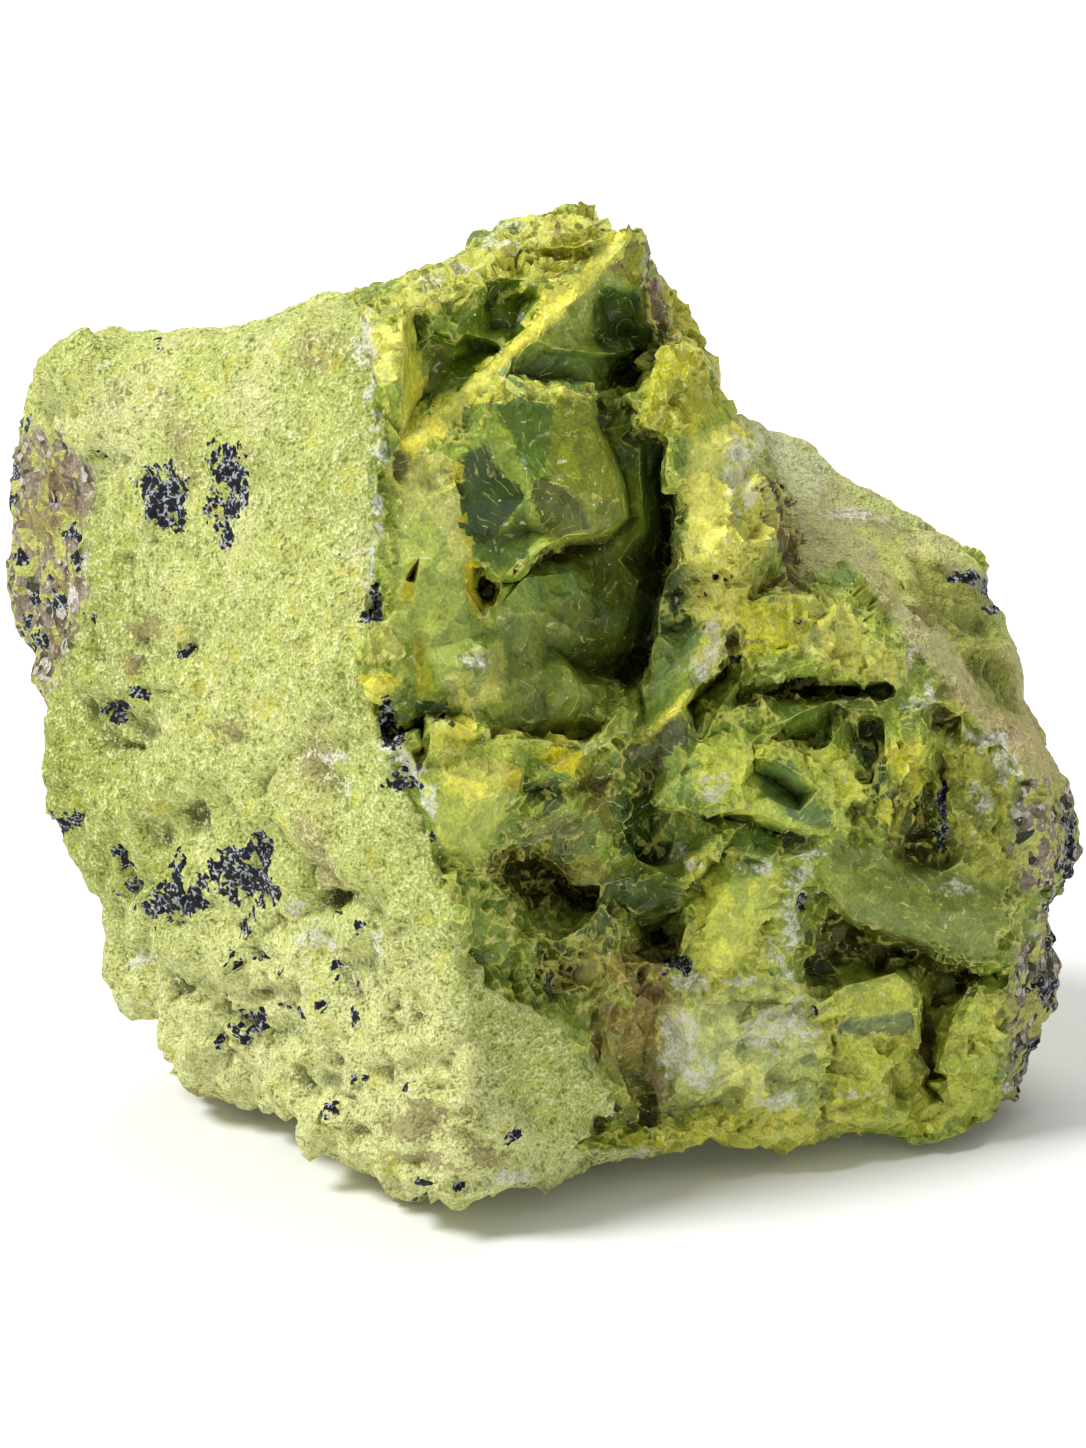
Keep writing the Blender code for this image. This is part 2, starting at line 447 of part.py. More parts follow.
    "low_blade": [(902, 1050, -2.4), (885, 1072, -3.2), (868, 1100, -2.6)],
    "low_blade_foot": [(908, 1062, 0), (903, 1092, 0.5), (925, 1084, 3), (936, 1094, 2)],
    "dark_ledge": [
        (580, 1116, -1), (600, 1108, -0.6), (640, 1105, 0.8), (652, 1114, 1.4), (640, 1127, 0.2),
        (600, 1126, 0),
    ],
    "bottom_lip": [
        (577, 1141, -1.6), (600, 1143, -2), (640, 1146, -1.8), (655, 1136, -1.4), (690, 1132, -1.6),
        (740, 1137, -1.8), (790, 1134, -2), (830, 1126, -2.4), (870, 1119, -2.8), (920, 1122, -2.8),
        (958, 1126, -2.6),
    ],
    "stain_edge": [(600, 1068, -4), (603, 1035, 0), (612, 1010, 0.5), (640, 1000, 1), (650, 985, 1.4)],
    "vein": [
        (463, 957, -1), (500, 968, -1.4), (530, 985, -1), (556, 1005, -0.8), (580, 1028, -0.8),
        (600, 1050, -0.4),
    ],
}

BROKEN_SPOTS = [
    (565, 325, -0.6), (588, 312, 0.6), (572, 338, -0.6), (630, 270, 1.5), (636, 300, 3),
    (565, 366, 1.5), (520, 362, -0.5), (436, 452, -3.8), (460, 430, -4.2), (520, 420, -4.8),
    (560, 440, -5), (580, 470, -5.4), (470, 500, -3.6), (500, 548, -2.6), (575, 515, -5.6),
    (608, 500, -5.6), (620, 440, 4), (640, 450, 3), (640, 480, 3.4), (645, 520, 4.4),
    (620, 560, 3.8), (640, 580, 5), (600, 600, 3), (625, 630, 5.5), (580, 635, 3), (610, 655, 7),
    (590, 570, 4.5), (400, 470, -2), (420, 500, -2.2), (395, 530, -1.4), (438, 540, -2.8),
    (440, 585, -1.6), (455, 605, -1.6), (395, 640, -2), (380, 670, -3), (400, 690, -1),
    (420, 650, -0.6), (425, 690, -1), (460, 640, -1), (455, 668, -2), (485, 655, -1.8),
    (490, 690, -0.8), (470, 705, -0.5), (500, 630, 0), (530, 640, 0.6), (411, 580, 2.5),
    (486, 588, 6), (540, 595, 1), (370, 640, -1.8), (372, 665, -2.6), (372, 720, 1), (390, 720, 2),
    (385, 760, 0.6), (400, 800, -1.4), (440, 830, -2.6), (470, 840, -2.8), (455, 868, -1.8),
    (545, 770, 0), (570, 775, -0.4), (545, 790, 0.8), (570, 752, -1.4), (530, 838, 3),
    (560, 842, 4.5), (550, 815, 1.5), (590, 820, 3.5), (598, 790, 3), (606, 850, 3), (632, 800, 5),
    (640, 830, 6), (672, 832, 4), (695, 840, 2), (700, 820, 3), (668, 855, 3.6), (620, 890, 4.5),
    (660, 892, 4), (685, 902, 4), (645, 936, 13), (612, 935, 2), (566, 965, 1.6), (590, 975, 1.2),
    (560, 985, 0.8), (610, 985, 0), (625, 975, 0), (590, 1005, 0.4), (500, 945, -2),
    (480, 910, -2.4), (475, 935, -2), (535, 955, -0.6), (640, 975, 3.5), (655, 1010, 3),
    (625, 1025, 2), (642, 1050, 3.6), (620, 1075, 1.6), (645, 1085, 2.6), (680, 1010, -0.6),
    (690, 1050, -1), (680, 1090, -0.6), (630, 740, 0.5), (640, 750, 2), (660, 738, 2.4),
    (630, 762, 1.6), (656, 770, 3), (672, 725, 0.5), (685, 765, -1), (700, 740, -1.6),
    (730, 725, -1.6), (722, 702, -1.6), (735, 765, -1.8), (700, 790, -1.2), (770, 800, -1.8),
    (765, 790, -0.6), (800, 812, -2), (790, 752, -2.8), (845, 780, -2.6), (840, 808, -2.4),
    (852, 826, -2.8), (862, 808, -1), (868, 725, 2.4), (880, 750, 1), (900, 712, -2.6),
    (900, 750, -3), (890, 790, -3), (925, 800, 3.4), (960, 735, 1), (985, 745, 0.4),
    (965, 790, 1.2), (1000, 790, 0), (970, 835, 0.6), (1000, 838, -0.4), (960, 862, -1),
    (1000, 858, -1.4), (955, 712, -1.6), (905, 855, 1.5), (932, 852, 1), (860, 890, -3.8),
    (900, 905, -4.2), (950, 912, -4.4), (1000, 908, -4.2), (950, 940, -3.8), (900, 886, -3.4),
    (845, 870, -3.4), (735, 870, -1), (720, 900, -1.6), (760, 885, -2), (770, 930, -2.2),
    (735, 945, -2), (700, 925, -1), (745, 850, -0.6), (780, 860, -1.4), (715, 960, -1.8),
    (760, 965, -2.2), (905, 962, 2), (916, 968, 2), (978, 1010, -2.4), (985, 1050, -2.2),
    (970, 1090, -2.4), (990, 1090, -2), (990, 1115, -2), (735, 1035, -0.6), (760, 1020, -0.8),
    (800, 1030, -1.6), (760, 1062, -2), (800, 1070, -2.2), (720, 1080, -1.6), (690, 1108, 0.8),
    (730, 1100, 0.2), (760, 1110, -1.8), (830, 1085, -2), (850, 1065, -1.6), (890, 1108, -2.4),
    (700, 670, -2.4), (680, 650, -0.5), (672, 600, 1.5), (675, 620, 1.2), (665, 700, -0.2),
    (650, 700, 2), (790, 630, -2.6), (775, 650, -2.2), (810, 640, -2), (835, 650, -1.6),
    (845, 600, -1.6), (865, 620, -2.6), (885, 640, -2.6), (905, 690, -2.2), (740, 680, 1.2),
    (750, 690, 0.5), (733, 708, -1.6),
]

# The hidden side: the back, the underside and the flat spot, as x, y and height above the floor.
BACK = {
    "high_ridge": [
        (-40, 24, 60), (-26, 28, 67), (-9, 31, 74), (5, 28, 80), (12, 27, 70), (26, 31, 52),
        (39, 29, 44), (48, 20, 33),
    ],
    "belt": [(-48, 20, 42), (-36, 36, 44), (-14, 43, 52), (10, 43, 47), (33, 37, 34), (49, 17, 20)],
    "low_ridge": [(-42, 22, 22), (-27, 36, 17), (-4, 41, 20), (19, 39, 14), (39, 27, 10), (46, 14, 9)],
    "toe": [
        (-36, 14, 7), (-29, 24, 4), (-10, 33, 4), (12, 33, 3.5), (31, 23, 3.5), (38, 12, 4),
        (33, -2, 4),
    ],
    "cleft": [(-14, 43, 52), (-16, 36, 34), (-4, 41, 20)],
    "spur": [(10, 43, 47), (14, 44, 30), (19, 39, 14)],
}

BACK_SPOTS = [
    (-33, 30, 56), (-18, 33, 62), (0, 32, 68), (18, 33, 54), (-28, 36, 32), (28, 38, 24), (44, 26, 30),
    (-46, 17, 32), (0, 40, 38), (3, 20, 84), (-14, 20, 76), (-28, 18, 68), (17, 22, 66), (-44, 19, 52),
]

# The flat spot that the rock rests on, drawn a little below the floor and cut off there.
REST = [(-18, -3), (-16, 14), (-3, 22), (14, 19), (20, 8), (12, -2), (-2, -9), (-13, -9)]
REST_DROP = -0.6


FORWARD = Vector((0.0, cos(EYE_TILT), -sin(EYE_TILT)))
UPWARD = Vector((0.0, sin(EYE_TILT), cos(EYE_TILT)))
EYE = EYE_AIM - EYE_DISTANCE * FORWARD


def sight(column, row, depth):
    """The point, in millimetres, that is seen at a column and row and lies this deep."""
    across = (column - MIDDLE_COLUMN) * STEP / EYE_DISTANCE
    above = (MIDDLE_ROW - row) * STEP / EYE_DISTANCE
    ray = FORWARD + across * Vector((1.0, 0.0, 0.0)) + above * UPWARD
    point = EYE + ray * ((depth - EYE.y) / ray.y)
    if point.z < LOWEST_EDGE:
        point = EYE + ray * ((LOWEST_EDGE - EYE.z) / ray.z)
    return point


def seen_at(point):
    """The column and row where a point is seen."""
    offset = point - EYE_AIM
    scale = EYE_DISTANCE / (EYE_DISTANCE + offset.dot(FORWARD)) / STEP
    return Vector((MIDDLE_COLUMN + offset.x * scale, MIDDLE_ROW - offset.dot(UPWARD) * scale))


def broken_depth(column, row, relief):
    """The depth of a point that stands this far behind the broken face's mean plane."""
    lean = FACE_LEAN * max(0.0, FACE_LEAN_ROW - row)
    return FACE_DEPTH + FACE_TURN * (column - FACE_LEFT) + lean + relief


def ring(outline, inset, depth):
    """Points a little inside the outline, which round it off."""
    points = []
    for index, here in enumerate(outline):
        before = outline[index - 1]
        after = outline[(index + 1) % len(outline)]
        along = Vector((after[0] - before[0], after[1] - before[1])).normalized()
        inward = Vector((-along.y, along.x)) * inset
        points.append((here[0] + inward.x, here[1] + inward.y, here[2] + depth))
    return points


def sampled(line):
    """Points all along a line, close to each other, as they are seen."""
    points = [Vector(line[0][:2])]
    for start, end in zip(line, line[1:]):
        way = Vector(end[:2]) - Vector(start[:2])
        count = ceil(way.length / LINE_SAMPLE)
        points += [Vector(start[:2]) + way * (step / count) for step in range(1, count + 1)]
    return points


def clear_of(points, others, distance):
    """The points that have none of the others this near."""
    near = distance * distance
    return [p for p in points if all((p[0] - q[0]) ** 2 + (p[1] - q[1]) ** 2 > near for q in others)]


class Net:
    """One side of the rock: points where they are seen, with their places, and the lines between them."""

    def __init__(self, outline):
        self.seen = [Vector((column, row)) for column, row, depth in outline]
        self.places = [sight(*point) for point in outline]
        self.index = {(column, row): i for i, (column, row, depth) in enumerate(outline)}
        self.edges = []
        self.rim = list(range(len(outline)))

    def add(self, key, seen, place):
        if key not in self.index:
            self.index[key] = len(self.seen)
            self.seen.append(seen)
            self.places.append(place)
        return self.index[key]

    def line(self, indices):
        self.edges += zip(indices, indices[1:])

    def triangles(self):
        """The triangles inside the outline, with each corner as its number in this net."""
        found, _, faces, origins, _, _ = delaunay_2d_cdt(self.seen, self.edges, [self.rim], 1, 0.01)
        corner = []
        for place, origin in zip(found, origins):
            if origin:
                corner.append(origin[0])
            else:
                corner.append(self.crossing(place))
        return [[corner[i] for i in face] for face in faces]

    def crossing(self, place):
        """A point where two lines cross lies on the first line that passes through it."""
        for a, b in self.edges:
            start, end = self.seen[a], self.seen[b]
            along = end - start
            part = (place - start).dot(along) / along.length_squared
            if 0 <= part <= 1 and (start + along * part - place).length < 0.05:
                self.seen.append(place.copy())
                self.places.append(self.places[a].lerp(self.places[b], part))
                return len(self.seen) - 1
        raise ValueError("no line passes through this crossing")


def front_net():
    net = Net(OUTLINE)
    traced = WEATHERED_SPOTS + BROKEN_SPOTS
    for lines in (WEATHERED, BROKEN):
        for line in lines.values():
            traced += sampled(line)
    for line in WEATHERED.values():
        net.line([net.add(p[:2], Vector(p[:2]), sight(*p)) for p in line])
    for line in BROKEN.values():
        net.line([net.add(p[:2], Vector(p[:2]), sight(p[0], p[1], broken_depth(*p))) for p in line])
    for p in WEATHERED_SPOTS + clear_of(ring(OUTLINE, RING_INSET, RING_FRONT), traced, RING_FREE):
        net.add(p[:2], Vector(p[:2]), sight(*p))
    for p in BROKEN_SPOTS:
        net.add(p[:2], Vector(p[:2]), sight(p[0], p[1], broken_depth(*p)))
    return net


def back_net():
    net = Net(OUTLINE)
    for line in BACK.values():
        net.line([net.add(p, seen_at(Vector(p)), Vector(p)) for p in line])
    corners = [(x, y, REST_DROP) for x, y in REST]
    net.line([net.add(p, seen_at(Vector(p)), Vector(p)) for p in corners + corners[:1]])
    for p in BACK_SPOTS:
        net.add(p, seen_at(Vector(p)), Vector(p))
    for p in clear_of(ring(OUTLINE, RING_INSET, RING_BACK), OUTLINE, RING_CLEAR):
        net.add(p[:2], Vector(p[:2]), sight(*p))
    return net


def joined(front, back):
    """One closed mesh of both sides, in millimetres. Its side layer is 1 before, -1 behind, 0 between."""
    mesh = bmesh.new()
    side = mesh.verts.layers.float.new("side")
    rim = len(OUTLINE)
    front_faces, back_faces = front.triangles(), back.triangles()
    shared = [mesh.verts.new(place) for place in front.places[:rim]]
    before = shared + [mesh.verts.new(place) for place in front.places[rim:]]
    behind = shared + [mesh.verts.new(place) for place in back.places[rim:]]
    for vertex in before[rim:]:
        vertex[side] = 1.0
    for vertex in behind[rim:]:
        vertex[side] = -1.0
    flaps = {frozenset(face) for face in front_faces if max(face) < rim}
    flaps &= {frozenset(face) for face in back_faces}
    for corners, faces in ((before, front_faces), (behind, back_faces)):
        for face in faces:
            if frozenset(face) not in flaps:
                mesh.faces.new([corners[i] for i in face])
    bmesh.ops.recalc_face_normals(mesh, faces=mesh.faces[:])
    return mesh


def split_long_edges(mesh):
    """Halves the edges that are too long for their side, a few times over."""
    side = mesh.verts.layers.float["side"]
    for _ in range(SPLITS):
        long_edges = []
        for edge in mesh.edges:
            is_behind = sum(vertex[side] for vertex in edge.verts) < 0
            if edge.calc_length() > (BACK_EDGE if is_behind else FRONT_EDGE):
                long_edges.append(edge)
        bmesh.ops.subdivide_edges(mesh, edges=long_edges, cuts=1)
        bmesh.ops.triangulate(mesh, faces=mesh.faces[:])


def broken_edge_column(row):
    """The column where the weathered face ends and the broken one begins, at a row."""
    line = WEATHERED["broken_edge"]
    for above, below in zip(line, line[1:]):
        if row < below[1]:
            part = max(0.0, (row - above[1]) / (below[1] - above[1]))
            return above[0] + part * (below[0] - above[0])
    return line[-1][0]


def chip(point, size, height):
    """The height of flat chips at a point: each cell of a pattern is raised and tilted in its own way."""
    cell = noise.voronoi(point / size)[1][0]
    tilt = Vector([noise.noise(cell * CHIP_TURN_STEP + shift) for shift in CHIP_TURN_SHIFTS])
    return height * (noise.noise(cell * CHIP_RISE_STEP) + tilt.dot(point / size - cell))


def roughness(point, side):
    """How far the surface stands out at a point, in millimetres."""
    lump = noise.fractal(point / LUMP_SIZE, 1.0, 2.0, LUMP_OCTAVES)
    if side < 0:
        return chip(point, BACK_CHIP_SIZE, BACK_CHIP) + WEATHERED_LUMP * lump
    column, row = seen_at(point)
    if column < broken_edge_column(row):
        return chip(point, WEATHERED_CHIP_SIZE, WEATHERED_CHIP) + WEATHERED_LUMP * lump
    return chip(point, BROKEN_CHIP_SIZE, BROKEN_CHIP) + BROKEN_LUMP * lump


def roughen(mesh):
    """Moves each point along the line to the eye, so that the outline and the flat spot stay."""
    side = mesh.verts.layers.float["side"]
    mesh.normal_update()
    moves = []
    for vertex in mesh.verts:
        ray = (vertex.co - EYE).normalized()
        facing = max(LEAST_FACING, abs(vertex.normal.dot(ray)))
        height = roughness(vertex.co, vertex[side]) * vertex[side] / facing
        moves.append(ray * (-height if vertex.co.z > STILL_BELOW else 0.0))
    for vertex, move in zip(mesh.verts, moves):
        vertex.co += move


def cut_flat_spot(mesh):
    parts = mesh.verts[:] + mesh.edges[:] + mesh.faces[:]
    cut = bmesh.ops.bisect_plane(
        mesh, geom=parts, plane_co=(0, 0, FLAT_CUT), plane_no=(0, 0, 1), clear_inner=True, dist=0.0001
    )
    edges = [part for part in cut["geom_cut"] if isinstance(part, bmesh.types.BMEdge)]
    bmesh.ops.holes_fill(mesh, edges=edges, sides=0)
    bmesh.ops.triangulate(mesh, faces=mesh.faces[:])


def serpentine():
    """The stone's material: a yellowish green, waxy where it is broken."""
    material = bpy.data.materials.new("serpentine")
    material.use_nodes = True
    shader = material.node_tree.nodes["Principled BSDF"]
    shader.inputs["Base Color"].default_value = STONE_COLOUR
    shader.inputs["Roughness"].default_value = STONE_ROUGHNESS
    shader.inputs["Metallic"].default_value = 0.0
    return material


def main():
    for obj in list(bpy.data.objects):
        bpy.data.objects.remove(obj, do_unlink=True)
    mesh = joined(front_net(), back_net())
    split_long_edges(mesh)
    roughen(mesh)
    cut_flat_spot(mesh)
    bmesh.ops.scale(mesh, vec=(MM, MM, MM), verts=mesh.verts[:])
    data = bpy.data.meshes.new("serpentine_rock")
    mesh.to_mesh(data)
    mesh.free()
    data.materials.append(serpentine())
    rock = bpy.data.objects.new("serpentine_rock", data)
    parts = bpy.data.collections.new("Serpentine rock")
    bpy.context.scene.collection.children.link(parts)
    parts.objects.link(rock)


main()
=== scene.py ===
"""The looks of the serpentine rock: its weathered rind, its broken face, and the minerals in both.

The solid from the frame is split into small triangles, and their corners are moved in and out as the
stone is. Each triangle gets a colour, some with painted light and shade, each corner gets amounts of the
kinds of stone, and the material makes the fine grain from those, with painted shade in hollows and
painted light on thin edges. Lengths are in millimetres up to the last step, as in the part's source.
Zones of the side that the camera sees are given as (column, row), in steps of 0.1 mm at the middle of
the rock.
"""
from math import cos, radians, sin

import bmesh
import bpy
import numpy as np
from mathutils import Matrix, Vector


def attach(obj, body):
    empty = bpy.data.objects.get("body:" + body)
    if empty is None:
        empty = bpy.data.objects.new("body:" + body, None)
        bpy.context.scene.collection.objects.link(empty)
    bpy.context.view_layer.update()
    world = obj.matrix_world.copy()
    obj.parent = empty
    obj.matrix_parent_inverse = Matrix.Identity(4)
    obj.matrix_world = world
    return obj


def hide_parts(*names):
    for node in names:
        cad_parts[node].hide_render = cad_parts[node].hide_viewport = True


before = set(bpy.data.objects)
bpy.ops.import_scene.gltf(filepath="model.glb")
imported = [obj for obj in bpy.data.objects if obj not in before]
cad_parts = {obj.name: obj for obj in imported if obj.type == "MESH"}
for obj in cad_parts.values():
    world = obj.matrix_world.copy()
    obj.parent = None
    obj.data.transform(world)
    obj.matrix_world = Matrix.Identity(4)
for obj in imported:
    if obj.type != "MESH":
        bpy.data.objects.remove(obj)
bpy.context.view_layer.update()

MM = 0.001

# The camera, which is the eye that the zones are seen from.
EYE_TILT = radians(16)
EYE_DISTANCE = 550.0
EYE_AIM = np.array((0.0, 0.0, 41.0))
FORWARD = np.array((0.0, cos(EYE_TILT), -sin(EYE_TILT)))
UPWARD = np.array((0.0, sin(EYE_TILT), cos(EYE_TILT)))
EYE = EYE_AIM - EYE_DISTANCE * FORWARD
STEP = 0.1
MIDDLE = (543.0, 724.0)
PICTURE_HEIGHT = 1448
SENSOR = 36.0

# The lamps, with where each shines from, how wide it spreads and its strength, the world and the floor.
LAMPS = {
    "key": ((-0.75, -0.24, 1.0), radians(20), 2.8),
    "top": ((0.1, 0.45, 1.0), radians(40), 1.1),
}
WORLD_LIGHT = 0.36
FLOOR_LOOK = {
    "Base Color": (0.93, 0.93, 0.93, 1), "Roughness": 0.9,
    "Emission Color": (1, 1, 1, 1), "Emission Strength": 0.03,
}
FLOOR_SIZE = 12.0

# The longest edges of the small triangles, in the broken stone and the rind that are seen and behind,
# and how many times edges are split.
BROKEN_EDGE = 0.72
RIND_EDGE = 1.05
BACK_EDGE = 2.1
SPLITS = 7

# How often the stone is softened, and how far each point then goes to the mean of its neighbours:
# everywhere, and what is added where it is worn.
SOFTENINGS = 8
LEAST_SOFTENING = 0.05
WORN_SOFTENING = 0.45

# How many times directions and places are blurred, to see the broad shape.
FACING_BLURS = 6
PUSH_BLURS = 2
HOLLOW_BLURS = 60

# Turns between two faces, in degrees: from which an edge is drawn sharp, what is added to that on the
# rind, and between which an edge that stands out becomes a raised edge, which gets painted edge light.
SHARP_TURN = 24
RIND_EXTRA_TURN = 60
RIDGE_TURNS = (22, 70)

# The size of the broken facets and of the flakes that the edges of the coloured zones follow, and how
# many treads a terrace has.
FACET = 4.6
FLAKE = 2.4
TREADS = 6.0

# Colours of the kinds of stone, from 0 to 255.
STONE = (126, 144, 58)
SHOULDER_STONE = (190, 186, 124)
RIND_STONE = (190, 198, 108)
RIND_GREEN = (158, 170, 78)
RIND_PALE = (212, 214, 142)
RIND_BROWN = (160, 148, 100)
SLAB_STONE = (182, 192, 102)
GRANULAR_STONE = (154, 158, 72)
CRUST_TONES = [
    (0.0, (186, 188, 100)), (0.38, (146, 128, 116)), (0.62, (120, 104, 92)), (0.76, (200, 194, 180)),
    (0.86, (44, 46, 46)),
]

# Colours of marks that are finer than the triangles. The colour for hollows is partly the stone's deeper
# colour and partly painted shade, and the colours for raised edges and flake rims are painted light.
MARKS = {
    "hollow": (46, 50, 12), "edge light": (218, 212, 100), "pale flake": (216, 212, 112),
    "flake rim light": (222, 218, 124), "scratch": (232, 232, 190), "dust": (236, 238, 180),
    "pit": (108, 118, 42), "yellow chip": (206, 196, 70), "brown grain": (126, 104, 70),
    "chalk": (226, 226, 208), "white dot": (240, 240, 214), "black grain": (20, 24, 32),
    "glint": (176, 182, 186),
}

# The amounts of the kinds of stone that each corner stores for the material.
AMOUNTS = ("rind", "crust", "broken", "calm", "crushed", "black", "chalk", "brown")

# The weathered rind, its smooth slab, the shoulder, the knobbly crusts and the granular places.
RIND = [
    (0, 300), (340, 290), (362, 320), (372, 360), (378, 430), (372, 480), (378, 540), (370, 600), (360, 640),
    (352, 680), (372, 705), (385, 745), (398, 780), (415, 820), (432, 865), (450, 900), (462, 950),
    (480, 990), (530, 1010), (575, 1050), (612, 1092), (585, 1125), (570, 1150), (660, 1145), (640, 1175),
    (380, 1240), (-60, 1240), (-60, 300),
]
SLAB = [
    (350, 760), (398, 790), (415, 830), (432, 880), (450, 915), (462, 960), (500, 1005), (545, 1015),
    (590, 1055), (612, 1092), (580, 1125), (565, 1145), (520, 1120), (480, 1050), (455, 990), (430, 940),
    (395, 900), (370, 850), (345, 800),
]
SHOULDER = [
    (742, 415), (800, 435), (880, 496), (960, 545), (1010, 620), (1030, 700), (1065, 790), (1030, 780),
    (985, 730), (935, 668), (905, 640), (890, 610), (845, 560), (800, 575), (790, 500), (765, 445),
]
CRUST = [
    [(1020, 780), (1045, 775), (1090, 800), (1100, 880), (1045, 890), (1025, 893), (1012, 850), (1012, 810)],
    [
        (1015, 950), (1035, 925), (1045, 900), (1110, 900), (1100, 1060), (1050, 1110), (1010, 1110),
        (1004, 1060), (1008, 1000),
    ],
    [(-40, 440), (60, 430), (95, 470), (90, 540), (95, 600), (85, 640), (60, 680), (45, 700), (-40, 700)],
]
GRANULAR = [
    [(936, 700), (975, 715), (1010, 760), (1012, 850), (1015, 880), (960, 878), (945, 860), (935, 790)],
    [(900, 556), (940, 560), (985, 600), (1010, 660), (1022, 720), (985, 700), (950, 640), (915, 600)],
]

# Zones that two tables share.
BAND = [
    (398, 440), (440, 398), (500, 350), (545, 300), (592, 258), (618, 226), (640, 236), (612, 262),
    (580, 300), (545, 330), (512, 362), (470, 404), (436, 440), (410, 458),
]
TOP_FLAKES = [(380, 290), (480, 240), (560, 200), (622, 222), (590, 262), (530, 285), (470, 290), (410, 315)]

# Smooth facets of the broken face, and where it is crushed to flakes.
SMOOTH_FACETS = [
    [(488, 400), (592, 400), (626, 516), (560, 546), (500, 575), (462, 550), (458, 455)],
    [
        (500, 580), (560, 556), (612, 415), (666, 450), (664, 560), (655, 620), (620, 670), (560, 735),
        (470, 710),
    ],
    [(530, 345), (600, 262), (645, 290), (655, 350), (600, 385), (508, 376)],
    [(830, 842), (872, 842), (1000, 885), (1004, 962), (892, 942), (830, 902)],
    [(600, 876), (692, 890), (652, 916), (610, 906)],
    [(430, 352), (530, 288), (545, 300), (425, 418)],
    [(765, 704), (835, 704), (830, 738), (790, 740)],
    [(402, 480), (450, 500), (480, 560), (480, 640), (460, 700), (412, 690), (394, 600)],
    [(412, 775), (500, 775), (500, 850), (440, 850)],
    [(640, 690), (700, 640), (692, 730), (650, 755)],
    [(720, 760), (800, 765), (840, 830), (760, 830)],
    [(840, 965), (925, 965), (915, 1035), (845, 1035)],
    [(700, 865), (780, 860), (775, 905), (725, 975), (704, 960)],
    [(690, 380), (735, 420), (730, 500), (700, 560), (680, 480)],
    [(660, 1000), (740, 1005), (735, 1080), (670, 1080)],
    BAND,
    [(403, 314), (416, 314), (420, 400), (418, 434), (402, 438)],
]
CRUSHED = [
    [
        (690, 440), (742, 418), (764, 446), (776, 520), (770, 545), (740, 640), (690, 670), (690, 600),
        (680, 500),
    ],
    TOP_FLAKES,
    [(340, 310), (403, 312), (403, 400), (385, 400), (372, 370)],
    [(438, 755), (505, 745), (515, 800), (500, 840), (440, 830)],
    [(400, 455), (455, 460), (458, 560), (430, 545), (400, 500)],
    [(440, 850), (500, 860), (540, 910), (620, 930), (600, 1010), (560, 1010), (480, 960)],
    [(690, 850), (790, 850), (790, 1000), (690, 1000)],
    [(800, 600), (850, 600), (910, 650), (908, 690), (850, 680), (815, 660)],
    [(650, 1110), (850, 1105), (850, 1145), (650, 1160)],
    [(820, 760), (880, 760), (870, 830), (830, 830)],
    [(350, 620), (420, 610), (420, 700), (360, 720)],
    [(640, 388), (668, 380), (724, 402), (700, 450), (660, 440)],
]
